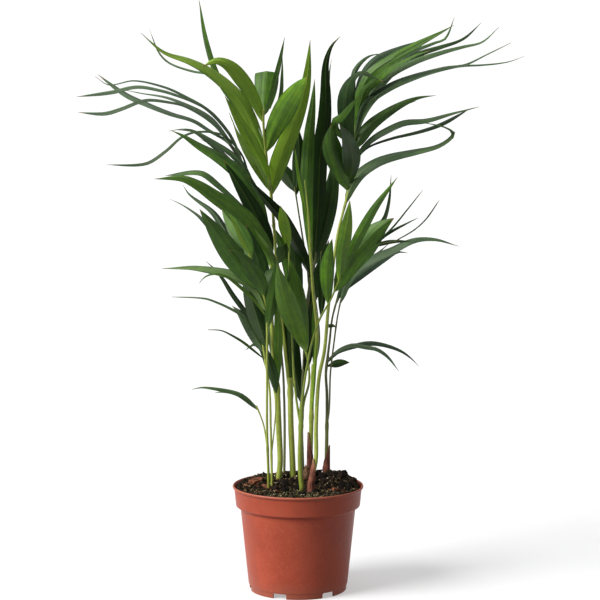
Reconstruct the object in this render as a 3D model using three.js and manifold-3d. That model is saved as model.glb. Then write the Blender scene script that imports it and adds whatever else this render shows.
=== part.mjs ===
// A potted palm: a clump of thin leafy stems that stands in soil in a plastic nursery pot.
// Millimetres, +Z up. The pot's foot stands on z = 0, its axis is x = y = 0, and the front
// of the plant is looked at along +Y.
import * as THREE from "three";
import { mergeVertices } from "three/addons/utils/BufferGeometryUtils.js";
import Module from "manifold-3d";

const wasm = await Module();
wasm.setup();

// ---------------------------------------------------------------- driving dimensions

const RIM_RADIUS = 60; // a 12 cm pot
const POT_HEIGHT = 97;
const RIM_BAND = 18.6; // height of the wider band under the rim
const RIM_BAND_RADIUS = 57; // at the band's lower edge
const LIP = 3.6; // height of the rolled lip that stands out round the top
const LIP_RADIUS = 58.4; // of the band, just under the lip
const BAND_STEP = 2.6; // the band steps in to the wall over this height
const WALL_TOP_RADIUS = 52.8; // just under the band
const WALL_FOOT_RADIUS = 45.6; // where the wall rounds into the base
const FOOT_RADIUS = 44.4;
const WALL = 1.4;
const FOOT_HEIGHT = 5; // the floor is raised this much
const NOTCHES = 6;
const NOTCH_FIRST = -82; // degrees from the front (-Y) towards +X
const NOTCH_WIDE = 16.5; // degrees
const NOTCH_HEIGHT = 4.9;
const NOTCH_CUT = 12; // length of the cut along the radius, through the foot ring
const DRAIN_RADIUS = 4;
const DRAIN_RING = 36; // radius on which the drain holes lie
const DRAIN_SIDES = 12;
const ROUND = 0.5; // the pot's edges are taken off by about this
const POT_SIDES = 48;

const GAP = 0.3; // clearance between two pieces that touch
const SOIL_TOP = 95.5;
const SOIL_GAP = 0.5; // its clearance in the pot, whose wall has flat facets
const SOIL_SIDES = 44;
const SOIL_RINGS = [52, 45, 38, 31, 24, 17, 10, 4]; // radii of the rings of its top
const SOIL_LUMP = 1.4; // height of the small lumps all over
const SOIL_LUMP_SIZE = 4;
const SOIL_SWELLS = [
  { height: 4.5, at: [-4, 34], wide: [34, 16] }, // the mound at the back
  { height: 9.5, at: [39, 18], wide: [15, 20] }, // the heap at the right
  { height: -2, at: [-6, -20], wide: [24, 20] }, // the hollow in front
];
const ROOT_Z = 70; // the stems stand down to this height in the soil

const STALK_SIDES = 6;
const STALK_STEP = 24; // length of one facet along a stalk
const BLADE_STEP = 25; // length of one facet along a leaf blade
const BLADE_STEPS = [4, 11]; // at least and at most
const BLADE_THICK = 1.3; // at the middle rib of a blade's root
const TIP_THICK = 0.8; // and near its tip
const KEEL = 0.22; // the edges hang below the rib by this share of the half width
const ROOT_SHARE = 0.3; // width of a blade at its root, as a share of its full width
const TIP_POWER = 1.8; // above 1, a blade keeps its width before it runs out to the tip
const HOLE_SIDES = 8;

// The plant's lines are written as they are seen from the front: x and z are read on the
// plane y = 0, by an eye this far off and this high, and y is how deep the point lies.
const EYE_DISTANCE = 1800;
const EYE_HEIGHT = 466;

const POT_COLOUR = 0xa84a33;
const HUSK_COLOUR = 0x5b3024;
const BARK_COLOUR = 0x6e3f2c;
const SOIL_COLOUR = 0x3a2a20;

const radians = THREE.MathUtils.degToRad;

function fromFront(x, z, y) {
  const scale = 1 + y / EYE_DISTANCE;
  return new THREE.Vector3(x * scale, y, EYE_HEIGHT + (z - EYE_HEIGHT) * scale);
}

// ---------------------------------------------------------------- the plant's plan

// A stalk: the line it follows, its depth at both ends and its thickness at both ends.
const stalk = (line, depths, thickness) => ({ line, depths, thickness });

// A leaf: the middle line of its blade, the depth of its tip and its full width. tilt turns
// its upper face from the front to the sky and turn turns it from the front to +X, in
// degrees at the root and at the tip. peak is where the blade is widest, from 0 to 1.
const leaf = (line, tipDepth, width, tilt = [25, 45], turn = [0, 0], peak = 0.4) => (
  { line, tipDepth, width, tilt, turn, peak }
);

// Stem at the left front: the lowest leaf and the broad bright frond above the middle.
const STEM_LEFT_FRONT = {
  name: "leafy_stem_left_front",
  colour: 0x6f9a2c,
  stalks: [
    stalk(
      [[-27, 99], [-28.4, 150], [-28.3, 200], [-29, 262], [-35, 283], [-45, 312]],
      [-10, -58], [2.6, 1.6],
    ),
    stalk([[-28.4, 128], [-31, 150], [-34, 160], [-38, 170]], [-10, -14], [1.6, 1.2]),
  ],
  leaves: [
    leaf(
      [[-34, 277], [-46, 292], [-60, 309], [-75, 330], [-89, 350]],
      -66, 20, [20, 25], [-10, -10],
    ),
    leaf(
      [[-30, 269], [-35, 284], [-42, 296], [-49, 305], [-56, 311], [-63, 313]],
      -74, 14, [20, 45], [-20, 0],
    ),
    leaf(
      [[-29, 262], [-24, 290], [-18, 306], [-14, 316], [-12.5, 317], [-11.5, 311], [-11, 304]],
      -12, 18, [15, 165], [10, 0], 0.5,
    ),
    leaf([[-28.4, 238], [-24, 262], [-20, 284], [-19, 306]], -20, 12, [15, 15], [20, 20], 0.5),
    leaf([[-42, 306], [-48, 318], [-56, 332], [-69, 350]], -58, 17, [15, 15], [0, 0], 0.45),
    leaf([[-44, 309], [-50, 320], [-55, 331], [-62, 346]], -80, 4, [20, 20], [0, 0]),
    leaf(
      [[-38, 169], [-50, 179], [-60, 183], [-75, 186], [-88, 187], [-97, 185]],
      -30, 6, [50, 60],
    ),
    leaf([[-36, 166], [-47, 176], [-55, 181], [-65, 183], [-76, 182]], -8, 6, [50, 60]),
    leaf(
      [[-29, 257], [-37, 275], [-47, 285], [-59, 291], [-71, 294], [-95, 297], [-123, 296]],
      -88, 12, [40, 65],
    ),
    leaf(
      [[-28.6, 250], [-40, 268], [-60, 286], [-70, 291], [-78, 291], [-85, 288], [-90, 282]],
      -72, 6, [50, 60],
    ),
    leaf([[-28.3, 223], [-36, 247], [-43, 270], [-50, 293]], 10, 16, [15, 20], [-10, -10], 0.5),
  ],
};

// Stem behind it: narrow leaves that reach out low to the left.
const STEM_LEFT = {
  name: "leafy_stem_left",
  colour: 0x557f33,
  stalks: [
    stalk(
      [[-24, 99], [-25, 150], [-26, 185], [-30, 212], [-32, 230], [-33, 260]],
      [0, 10], [2.4, 1.6],
    ),
    stalk([[-23.6, 125], [-21.6, 150], [-20.4, 165], [-20, 182]], [0, 8], [1.4, 1.2]),
    stalk([[-31, 222], [-35, 250], [-41, 272]], [5, 0], [1.8, 1.5]),
  ],
  leaves: [
    leaf(
      [[-32, 236], [-52, 262], [-60, 273], [-68, 286], [-75, 295], [-84, 303]],
      -24, 5, [45, 45], [-20, -20],
    ),
    leaf(
      [[-32, 228], [-40, 244], [-50, 253], [-58, 258], [-75, 266], [-85, 269], [-115, 270]],
      6, 6, [70, 80],
    ),
    leaf([[-31.4, 220], [-42, 240], [-53, 256], [-60, 262]], 34, 12, [20, 50]),
    leaf(
      [[-30, 212], [-40, 221], [-50, 229], [-60, 235], [-70, 239.5], [-82, 240]],
      -16, 4, [50, 60],
    ),
    leaf(
      [[-20, 180], [-22, 195], [-27, 212], [-33, 224], [-40, 227], [-48, 221]],
      16, 10, [20, 60], [-20, 0],
    ),
    leaf(
      [[-33, 252], [-33, 281], [-36, 302], [-42, 319], [-47, 336]],
      18, 17, [20, 30], [-10, -10], 0.5,
    ),
    leaf(
      [[-40, 270], [-55, 310], [-73, 342], [-80, 350], [-90, 357], [-99, 364], [-104, 372]],
      14, 8, [40, 45],
    ),
    leaf(
      [[-40, 266], [-60, 308], [-88, 342], [-97, 349], [-105, 354], [-116, 359]],
      -6, 6, [50, 70],
    ),
  ],
};

// Thick stem left of the middle: a frond of broad leaves that arch to the left.
const STEM_LEFT_MIDDLE = {
  name: "leafy_stem_left_middle",
  colour: 0x4c7c2e,
  stalks: [
    stalk(
      [[-17.6, 101], [-16.4, 120], [-17.6, 150], [-19, 180], [-20.6, 197]], [22, 26], [5, 5.8],
    ),
    stalk(
      [[-19.4, 186], [-21, 200], [-24, 250], [-24, 290], [-25.6, 315], [-29, 336]],
      [26, 34], [5, 1.6],
    ),
  ],
  leaves: [
    leaf(
      [
        [-23.5, 296], [-28, 315], [-38, 331], [-48, 343], [-60, 352], [-75, 362], [-90, 372],
        [-105, 378], [-130, 377],
      ],
      -8, 17, [25, 45],
    ),
    leaf(
      [
        [-27, 325], [-38, 342], [-50, 352], [-60, 361], [-71, 371], [-85, 382], [-95, 383.5],
        [-120, 380],
      ],
      48, 8, [78, 45], [0, 0], 0.7,
    ),
    leaf(
      [
        [-27, 324], [-31, 339], [-36, 354], [-43, 368], [-51, 380], [-62, 390], [-75, 399], [-89, 407],
        [-103, 416], [-115, 421],
      ],
      46, 14, [20, 45], [-10, 0], 0.4,
    ),
    leaf(
      [
        [-29, 334], [-40, 366], [-50, 389], [-60, 400], [-80, 413], [-95, 421], [-105, 422],
        [-117, 420],
      ],
      84, 7, [40, 55],
    ),
    leaf(
      [[-24.6, 303], [-29, 325], [-37, 343], [-47, 361], [-56, 376], [-67, 394]],
      22, 15, [25, 25], [-10, -10], 0.35,
    ),
    leaf([[-19, 184], [-18, 215], [-18, 245], [-21, 272]], 22, 9, [10, 10], [20, 20], 0.5),
    leaf([[-21, 204], [-24.5, 230], [-26.5, 255], [-28, 278]], 34, 8, [10, 10], [-30, -30], 0.5),
  ],
};

// Thin stem at the back left: a frond of narrow leaves, seen almost edge-on, far to the left.
const STEM_LEFT_BACK = {
  name: "leafy_stem_left_back",
  colour: 0x4a7240,
  stalks: [
    stalk(
      [
        [-12.7, 103], [-12.3, 150], [-13, 185], [-14, 205], [-20, 260], [-30, 330], [-38, 366],
        [-48, 388], [-62, 408],
      ],
      [38, 76], [2.6, 1.4],
    ),
  ],
  leaves: [
    leaf(
      [
        [-44, 380], [-50, 398], [-60, 411], [-70, 418], [-90, 420], [-105, 415], [-120, 402],
        [-138, 391], [-173, 390],
      ],
      28, 5.5, [80, 45], [0, 0], 0.7,
    ),
    leaf(
      [
        [-46, 385], [-55, 401], [-65, 412], [-80, 421], [-95, 430], [-115, 436], [-135, 444],
        [-155, 453], [-180, 471],
      ],
      104, 6.5, [70, 36], [0, 0], 0.74,
    ),
    leaf(
      [
        [-49, 390], [-55, 405], [-63, 420], [-80, 439], [-100, 451], [-120, 460], [-147, 465.5],
        [-170, 461.5], [-182, 469],
      ],
      52, 6, [60, 70],
    ),
    leaf(
      [
        [-52, 394], [-60, 415], [-75, 435], [-85, 442], [-105, 451], [-125, 457], [-145, 460],
        [-168, 455], [-199, 451],
      ],
      84, 5, [82, 30], [0, 0], 0.8,
    ),
    leaf(
      [[-56, 399], [-66, 417], [-80, 433], [-100, 444], [-120, 451], [-140, 454], [-157, 457]],
      116, 6, [60, 66],
    ),
    leaf(
      [
        [-60, 405], [-75, 425], [-100, 442], [-120, 447], [-137, 448], [-160, 440], [-175, 436],
        [-198, 437],
      ],
      100, 5, [78, 30], [0, 0], 0.8,
    ),
    leaf(
      [[-41, 371], [-50, 382], [-60, 392], [-70, 402], [-85, 414], [-95, 420], [-108, 421]],
      128, 6, [55, 62],
    ),
    leaf([[-38, 364], [-46, 374], [-54, 384], [-65, 396], [-77, 407], [-88, 413]], 116, 5, [50, 60]),
  ],
};

// Thick stem in the middle: the tall bright frond at the upper left.
const STEM_MIDDLE = {
  name: "leafy_stem_middle",
  colour: 0x7ba32f,
  stalks: [
    stalk([[-4.6, 103], [-5.2, 120], [-6.5, 150], [-7, 180], [-7, 196]], [28, 26], [6, 5]),
    stalk(
      [[-7, 182], [-10, 205], [-15, 250], [-18, 272], [-21, 323], [-22.6, 345]],
      [26, 44], [3.4, 2.6],
    ),
    stalk([[-22, 336], [-24, 360], [-28, 392], [-31, 425], [-31, 440]], [43, -22], [2.7, 1.8]),
  ],
  leaves: [
    leaf(
      [
        [-31, 427], [-36, 442], [-43, 456], [-51, 468], [-59, 477], [-67, 482], [-75, 483],
        [-85, 478],
      ],
      -64, 14, [10, 35], [0, 0], 0.55,
    ),
    leaf(
      [
        [-28, 396], [-35, 413], [-42, 430], [-50, 445], [-60, 458], [-78, 473], [-97, 483],
        [-120, 491], [-141, 508],
      ],
      -34, 14, [25, 62], [0, 0], 0.35,
    ),
    leaf(
      [[-27, 385], [-42, 420], [-58, 446], [-70, 464], [-78, 483], [-84, 506], [-88.5, 537]],
      2, 7, [30, 30], [-40, -50], 0.72,
    ),
    leaf(
      [[-30, 412], [-48, 447], [-75, 470], [-95, 474], [-115, 481], [-125, 491], [-133, 511]],
      20, 5, [60, 65],
    ),
    leaf(
      [[-25, 371], [-32, 390], [-42, 410], [-52, 428], [-60, 442], [-66, 452]],
      -44, 12, [25, 40], [-20, -20],
    ),
    leaf(
      [[-25, 366], [-38, 390], [-47, 405], [-55, 420], [-62, 437]],
      -74, 9, [20, 40], [-10, -10],
    ),
    leaf(
      [[-31, 434], [-30, 450], [-28.5, 468], [-28, 474], [-27.5, 472], [-26, 456], [-25, 440]],
      24, 22, [5, 175], [-5, -5], 0.5,
    ),
    leaf(
      [[-31, 433], [-24, 452], [-18, 474], [-15, 487], [-12, 504]],
      -2, 6, [10, 10], [40, 50], 0.55,
    ),
    leaf(
      [[-30, 418], [-20, 436], [-15, 452], [-14, 470], [-14, 487]],
      16, 6, [10, 10], [50, 50], 0.5,
    ),
    leaf(
      [[-29, 402], [-22, 421], [-14, 437], [-6, 450], [3, 463], [9, 469]],
      -66, 20, [10, 30], [0, 10], 0.55,
    ),
    leaf(
      [[-24, 362], [-19, 385], [-12, 405], [-4, 425], [3, 445], [8, 466], [11, 502]],
      -38, 17, [10, 10], [10, 20], 0.24,
    ),
    leaf(
      [[-6, 194], [-7.5, 220], [-6.5, 250], [-3, 282], [-4, 318], [-12, 347]],
      50, 15, [10, 20], [0, 0], 0.5,
    ),
    leaf([[-18, 272], [-21, 296], [-25, 309], [-33, 322], [-40, 333]], -76, 7, [15, 20], [-10, -10]),
  ],
};

// Green stem at the front: low broad leaves in the middle and the bright fan to the right.
const STEM_FRONT = {
  name: "leafy_stem_front",
  colour: 0x7fae35,
  stalks: [
    stalk([[3.4, 96], [2.8, 100], [1.8, 120], [2.6, 150], [3.6, 172]], [-18, -18], [5, 4]),
    stalk(
      [
        [3.4, 165], [5, 185], [8, 205], [13, 230], [20, 250], [30, 268], [38, 286], [52, 302],
        [68, 316], [92, 322],
      ],
      [-18, -60], [2.3, 0.9],
    ),
    stalk([[3, 160], [6, 176], [9.8, 190], [10, 205], [7, 221]], [-18, -22], [2.4, 1.8]),
    stalk(
      [[2.4, 150], [-1, 172], [-3, 190], [-4, 200], [-6, 250], [-8, 300], [-8, 316]],
      [-18, 0], [2.2, 1.5],
    ),
  ],
  leaves: [
    leaf(
      [[7, 219], [3, 232], [-4, 248], [-10, 264], [-15, 282], [-19, 300]],
      -56, 19, [15, 15], [-10, -10], 0.5,
    ),
    leaf([[8, 219], [5, 238], [2, 258], [-2, 282], [-8, 306]], -30, 16, [10, 10], [20, 20], 0.5),
    leaf([[-8, 312], [-10, 326], [-12, 335], [-16, 353]], -22, 11, [20, 20], [10, 10], 0.55),
    leaf([[28, 262], [26, 285], [27, 305], [31, 323]], -58, 13, [15, 15], [-10, -10], 0.5),
    leaf([[22, 252], [22, 272], [20, 292], [21, 312]], -20, 9, [10, 10], [20, 20], 0.5),
    leaf([[37, 284], [41, 315], [45, 340], [47, 358]], -80, 12, [20, 20], [5, 5], 0.5),
    leaf([[40, 288], [50, 315], [60, 335], [70, 352], [84, 371], [90, 379]], -116, 9, [20, 30]),
    leaf(
      [[34, 276], [37, 282], [48, 303], [62, 320], [74, 333], [87, 342]],
      -82, 23, [15, 30], [0, 0], 0.55,
    ),
    leaf([[66, 314], [74, 335], [79, 342], [83, 360], [84, 381]], -44, 5, [30, 20], [50, 50]),
    leaf([[67, 315], [85, 333], [100, 351], [113, 367]], -112, 4, [50, 50]),
    leaf([[70, 317], [80, 327], [100, 338], [109, 342]], -56, 4, [55, 60]),
    leaf([[88, 321], [105, 331], [115, 340], [128, 358]], -134, 4, [50, 50]),
    leaf([[66, 314], [76, 319], [85, 321], [103, 321]], -40, 6, [50, 60]),
  ],
};

// Stem right of the middle: one tall upright leaf.
const STEM_RIGHT_MIDDLE = {
  name: "leafy_stem_right_middle",
  colour: 0x6e9c33,
  stalks: [
    stalk([[11, 103], [12, 150], [12.8, 180], [14.6, 208]], [28, 22], [4.5, 4]),
    stalk(
      [[13.8, 196], [16.4, 218], [17.4, 236], [16.4, 252], [14, 272], [12, 300], [10.4, 325]],
      [22, 0], [3.6, 2.2],
    ),
    stalk([[10.6, 320], [9.6, 340], [8, 358], [6, 376]], [0, -12], [2.2, 0.9]),
  ],
  leaves: [
    leaf(
      [[11.6, 306], [9, 345], [8, 380], [10, 415], [13, 442], [15, 467]],
      10, 12, [10, 10], [-10, 10], 0.5,
    ),
    leaf([[10, 330], [3, 370], [0, 385], [-3, 406]], 16, 5, [10, 10], [30, 30], 0.5),
    leaf([[13, 160], [14, 185], [15.4, 208], [17.6, 236]], 2, 3.4, [10, 10], [0, 0], 0.5),
    leaf([[15, 206], [17, 226], [16, 250], [15.5, 272]], 34, 9, [10, 10], [30, 30], 0.5),
  ],
};

// Yellow-green stem at the right front: the big frond that arches to the upper right.
const STEM_RIGHT_FRONT = {
  name: "leafy_stem_right_front",
  colour: 0x75a33a,
  stalks: [
    stalk(
      [
        [12, 97], [16.4, 120], [16.6, 150], [17.8, 180], [19.8, 200], [24, 220], [28, 265], [32, 300],
        [37, 332], [44, 360], [48, 384], [50, 405], [52, 440],
      ],
      [-24, 14], [4.2, 1.8],
    ),
  ],
  leaves: [
    leaf(
      [[50, 400], [45, 420], [43, 440], [44, 456], [49, 468], [57, 473], [67, 469], [76, 465]],
      -34, 16, [10, 75], [-10, 0], 0.45,
    ),
    leaf([[51, 432], [46, 450], [50, 468], [60, 474], [75, 467]], 26, 6, [20, 75], [30, 0]),
    leaf([[52, 438], [50, 458], [51, 474], [63, 487], [79, 489.5]], 54, 5, [20, 70], [50, 0]),
    leaf(
      [[52, 437], [54, 458], [60, 473], [67, 482], [75, 488], [95, 496], [107, 500], [128, 509]],
      74, 7, [30, 65], [40, 0],
    ),
    leaf(
      [[50, 424], [55, 450], [65, 471], [85, 486], [105, 497], [127, 508], [140, 515]],
      -16, 11, [20, 40],
    ),
    leaf([[51, 430], [60, 456], [68, 464], [80, 475], [105, 488], [118, 492]], -44, 10, [30, 50]),
    leaf(
      [[52, 438], [66, 458], [82, 476], [100, 490], [122, 499], [132, 503], [140, 522]],
      36, 6, [50, 50],
    ),
    leaf(
      [[51, 430], [66, 452], [84, 474], [104, 488], [128, 496], [148, 503], [164, 517]],
      94, 10, [50, 65],
    ),
    leaf(
      [[51, 426], [62, 447], [78, 468], [100, 481], [125, 490], [148, 496], [165, 500], [180, 513]],
      8, 10, [50, 65],
    ),
    leaf(
      [[50, 418], [60, 446], [80, 461], [100, 469], [130, 477], [150, 480], [170, 489], [191, 499]],
      -62, 7, [45, 65],
    ),
    leaf(
      [
        [50, 414], [60, 440], [80, 457], [110, 470], [140, 478], [165, 479.5], [188, 482],
        [203, 487],
      ],
      52, 6, [50, 65],
    ),
    leaf([[50, 410], [58, 432], [70, 449], [90, 462]], 88, 4, [50, 60]),
    leaf(
      [[50, 404], [60, 420], [70, 430], [90, 443], [107, 450], [124, 452]],
      20, 12, [25, 55], [0, 0], 0.2,
    ),
    leaf([[50, 400], [64, 419], [76, 433], [88, 441], [106, 447]], 72, 5, [55, 60]),
    leaf(
      [[49, 394], [56, 403], [65, 412], [75, 419], [95, 428], [115, 430], [140, 436.5], [163, 442]],
      -28, 10, [45, 65],
    ),
    leaf(
      [[49, 390], [62, 405], [85, 414], [110, 420], [130, 427], [154, 440]],
      46, 5, [60, 45], [0, 0], 0.75,
    ),
    leaf(
      [
        [42, 352], [47, 367], [56, 382], [70, 392], [85, 397.5], [105, 402],
        [128, 408], [140, 418], [132, 424], [110, 428],
      ],
      -2, 11, [30, 72], [0, 0], 0.25,
    ),
    leaf([[45, 364], [37, 386], [30, 408], [30, 426]], -30, 18, [10, 30], [-15, 0], 0.6),
    leaf([[47, 374], [49, 396], [45, 412], [37, 427]], -52, 19, [10, 30], [10, 10], 0.5),
    leaf([[51, 412], [36, 420], [33, 428], [40, 434], [54, 451]], -38, 9, [30, 30], [0, 0], 0.5),
  ],
};

// Stem at the back right: the low leaves that reach out to the right.
const STEM_RIGHT = {
  name: "leafy_stem_right",
  colour: 0x5d8740,
  stalks: [
    stalk(
      [
        [25.8, 104], [26.4, 150], [26.4, 180], [25.4, 200], [27, 215], [28.8, 230], [31, 250],
        [36, 270],
      ],
      [30, 40], [4.2, 1.6],
    ),
    stalk(
      [[26.6, 150], [28.5, 168], [29.5, 200], [31.7, 220], [35.6, 250], [39, 268]],
      [30, 26], [1.8, 1.4],
    ),
  ],
  leaves: [
    leaf(
      [[38, 264], [45, 283], [55, 297], [65, 304], [85, 313], [105, 322], [125, 322.5], [146, 316]],
      14, 11, [45, 60],
    ),
    leaf([[35, 266], [42, 278], [60, 293], [80, 306], [90, 311], [100, 310]], 70, 9, [40, 50]),
    leaf([[34, 262], [42, 284], [57, 300], [73, 311], [84, 320]], 44, 5, [50, 60]),
    leaf(
      [[26, 208], [35, 219], [50, 225], [65, 228], [80, 226], [95, 220], [105, 212], [110, 206]],
      62, 7, [55, 55],
    ),
    leaf(
      [[27, 212], [38, 222], [50, 226], [62, 224], [72, 222], [82, 215], [92, 202]],
      22, 6, [55, 50],
    ),
    leaf([[25.8, 206], [33, 208.5], [40, 210], [47, 210]], 34, 7.5, [20, 20], [0, 0], 0.5),
    leaf([[34.4, 243], [30, 244], [24.5, 244]], 46, 5, [30, 30], [0, 0], 0.6),
  ],
};

// Stem at the back: the dark leaves behind the middle of the plant.
const STEM_BACK = {
  name: "leafy_stem_back",
  colour: 0x35592a,
  stalks: [
    stalk(
      [[4, 108], [3, 150], [5, 200], [8, 250], [11, 285], [15, 302], [16, 318]],
      [43, 56], [4.4, 2],
    ),
    stalk([[11, 280], [8, 300], [4, 325], [0, 350], [-3, 370]], [54, 68], [2, 1.4]),
  ],
  leaves: [
    leaf(
      [[15, 300], [18, 350], [20, 400], [24, 430], [25, 452], [25, 480], [30, 496], [38, 505]],
      48, 15, [10, 20], [0, 20], 0.46,
    ),
    leaf([[16, 312], [22, 370], [26, 430], [28, 470], [30, 485]], 74, 6, [10, 20], [30, 20], 0.5),
    leaf([[-3, 366], [-7, 376], [-13, 385], [-20, 396]], 88, 14, [10, 40], [0, 0], 0.5),
    leaf([[-2, 362], [0, 380], [1, 400], [0, 424]], 78, 13, [10, 20], [0, 0], 0.5),
    leaf([[8, 248], [14, 275], [22, 300], [28, 322]], 72, 12, [10, 20], [10, 10], 0.5),
    leaf([[5, 196], [10, 218], [12, 242], [10, 266]], 40, 9, [10, 10], [10, 10], 0.5),
    leaf([[6, 218], [2, 245], [0, 270], [4, 296]], 66, 11, [10, 20], [-10, -10], 0.5),
    leaf(
      [[11.4, 288], [6, 302], [-5, 324], [-15, 342], [-27, 356], [-38, 369], [-46, 380]],
      -60, 16, [5, 10], [-30, -30], 0.4,
    ),
    leaf(
      [[12, 288], [14, 320], [14, 350], [14, 380], [13, 412]],
      70, 13, [10, 15], [-10, -10], 0.5,
    ),
    leaf([[15, 298], [22, 325], [28, 352], [32, 378], [34, 404]], 76, 16, [10, 20], [10, 10], 0.5),
    leaf([[7.4, 240], [-2, 276], [-9, 302], [-15, 318], [-24, 336]], 64, 14, [15, 20], [-10, -10], 0.5),
    leaf([[4, 170], [-3, 205], [-6, 235], [-7, 267]], 60, 14, [10, 20], [-10, -10], 0.5),
  ],
};

// A scaly brown bud beside the front stem, with no leaf yet.
const BUD = {
  name: "bud",
  colour: 0x6b4636,
  stalks: [stalk([[7.8, 104], [7.5, 110], [7, 116]], [18, 18], [5.6, 1.2])],
  leaves: [],
};

const TRACED_STEMS = [
  STEM_MIDDLE,
  STEM_LEFT_FRONT,
  STEM_FRONT,
  STEM_RIGHT_FRONT,
  STEM_RIGHT_MIDDLE,
  STEM_LEFT_MIDDLE,
  STEM_LEFT,
  STEM_RIGHT,
  STEM_LEFT_BACK,
  STEM_BACK,
  BUD,
];

// ---------------------------------------------------------------- lines in space

const HEADING_STEP = 0.01; // how far to both sides of a point a route's heading is taken

// A smooth curve through points set by hand: a cubic between each two, timed by the chords.
class Route {
  constructor(points) {
    this.points = points;
    this.times = [0];
    for (let i = 1; i < points.length; i += 1) {
      this.times.push(this.times[i - 1] + points[i].distanceTo(points[i - 1]));
    }
    this.length = this.times.at(-1);
  }

  slope(i) {
    const last = this.points.length - 1;
    const a = Math.max(0, i - 1);
    const b = Math.min(last, i + 1);
    return this.points[b].clone().sub(this.points[a]).divideScalar(this.times[b] - this.times[a]);
  }

  point(t) {
    const time = THREE.MathUtils.clamp(t, 0, 1) * this.length;
    let i = 0;
    while (i < this.points.length - 2 && this.times[i + 1] < time) i += 1;
    const span = this.times[i + 1] - this.times[i];
    const u = (time - this.times[i]) / span;
    return this.points[i].clone().multiplyScalar((1 + 2 * u) * (1 - u) ** 2)
      .addScaledVector(this.slope(i), u * (1 - u) ** 2 * span)
      .addScaledVector(this.points[i + 1], u * u * (3 - 2 * u))
      .addScaledVector(this.slope(i + 1), u * u * (u - 1) * span);
  }

  heading(t) {
    return this.point(t + HEADING_STEP).sub(this.point(t - HEADING_STEP)).normalize();
  }
}

// The points of a line seen from the front, its depth going evenly from one end to the other.
function deepen(line, depths) {
  const flat = [0];
  for (let i = 1; i < line.length; i += 1) {
    flat.push(flat[i - 1] + Math.hypot(line[i][0] - line[i - 1][0], line[i][1] - line[i - 1][1]));
  }
  return line.map(([x, z], i) => (
    fromFront(x, z, THREE.MathUtils.lerp(depths[0], depths[1], flat[i] / flat.at(-1)))
  ));
}

// The point of the routes that looks nearest to a seen point.
const ROUTE_SAMPLES = 60;
function nearestOn(routes, x, z) {
  let best = null;
  let bestGap = Infinity;
  for (const route of routes) {
    for (let i = 0; i <= ROUTE_SAMPLES; i += 1) {
      const point = route.point(i / ROUTE_SAMPLES);
      const scale = 1 + point.y / EYE_DISTANCE;
      const gap = Math.hypot(point.x / scale - x, (point.z - EYE_HEIGHT) / scale + EYE_HEIGHT - z);
      if (gap < bestGap) {
        best = point;
        bestGap = gap;
      }
    }
  }
  return best;
}

// ---------------------------------------------------------------- solids

// A closed skin over rings of points, each counter-clockwise about the way they follow.
// A ring of one point is a tip. Both faces of a blade are split along matching diagonals.
function skinned(rings) {
  const points = rings.flat();
  const triangles = [];
  let start = 0;
  for (let r = 0; r + 1 < rings.length; r += 1) {
    const count = rings[r].length;
    const next = start + count;
    for (let i = 0; i < count; i += 1) {
      const j = (i + 1) % count;
      if (rings[r + 1].length === 1) {
        triangles.push(start + i, start + j, next);
      } else if (i % 2 === 0) {
        triangles.push(start + i, start + j, next + j, start + i, next + j, next + i);
      } else {
        triangles.push(start + i, start + j, next + i, start + j, next + j, next + i);
      }
    }
    start = next;
  }
  for (let i = 1; i + 1 < rings[0].length; i += 1) {
    triangles.push(0, i + 1, i);
  }
  for (let i = 1; i + 1 < rings.at(-1).length; i += 1) {
    triangles.push(start, start + i, start + i + 1);
  }
  return new wasm.Manifold(new wasm.Mesh({
    numProp: 3,
    vertProperties: Float32Array.from(points.flatMap((p) => p.toArray())),
    triVerts: Uint32Array.from(triangles),
  }));
}

function fromGeometry(geometry) {
  geometry.deleteAttribute("normal");
  geometry.deleteAttribute("uv");
  const merged = mergeVertices(geometry, 1e-4);
  return new wasm.Manifold(new wasm.Mesh({
    numProp: 3,
    vertProperties: Float32Array.from(merged.attributes.position.array),
    triVerts: Uint32Array.from(merged.index.array),
  }));
}

function meshFrom(name, solid, colour, roughness = 0.6) {
  const { vertProperties, triVerts } = solid.getMesh();
  const geometry = new THREE.BufferGeometry();
  geometry.setAttribute("position", new THREE.BufferAttribute(Float32Array.from(vertProperties), 3));
  geometry.setIndex(new THREE.BufferAttribute(Uint32Array.from(triVerts), 1));
  geometry.computeVertexNormals();
  const material = new THREE.MeshStandardMaterial({ color: colour, roughness, metalness: 0 });
  const mesh = new THREE.Mesh(geometry, material);
  mesh.name = name;
  return mesh;
}

const FRONT = new THREE.Vector3(0, -1, 0);

// The two directions square to a route: across it, and the way its face looks.
function sectionAt(route, t, look) {
  const ahead = route.heading(t);
  const across = look.clone().cross(ahead).normalize();
  return { across, face: ahead.clone().cross(across) };
}

// A rod along a route. A hole around it has the same facets, or more, and clears them by GAP.
function tube(route, startRadius, endRadius, sides = STALK_SIDES) {
  const steps = Math.max(2, Math.round(route.length / STALK_STEP));
  const rings = [];
  for (let i = 0; i <= steps; i += 1) {
    const t = i / steps;
    const middle = route.point(t);
    const radius = THREE.MathUtils.lerp(startRadius, endRadius, t);
    const { across, face } = sectionAt(route, t, FRONT);
    rings.push(Array.from({ length: sides }, (_, k) => {
      const angle = (2 * Math.PI * k) / sides;
      return middle.clone()
        .addScaledVector(across, radius * Math.cos(angle))
        .addScaledVector(face, radius * Math.sin(angle));
    }));
  }
  return skinned(rings);
}

// Width of a blade along its length, as a share of its full width.
function widthShare(t, peak) {
  const rise = Math.min(1, t / peak);
  const fall = Math.max(0, (t - peak) / (1 - peak));
  return (ROOT_SHARE + (1 - ROOT_SHARE) * Math.sin((rise * Math.PI) / 2)) * (1 - fall ** TIP_POWER);
}

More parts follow.
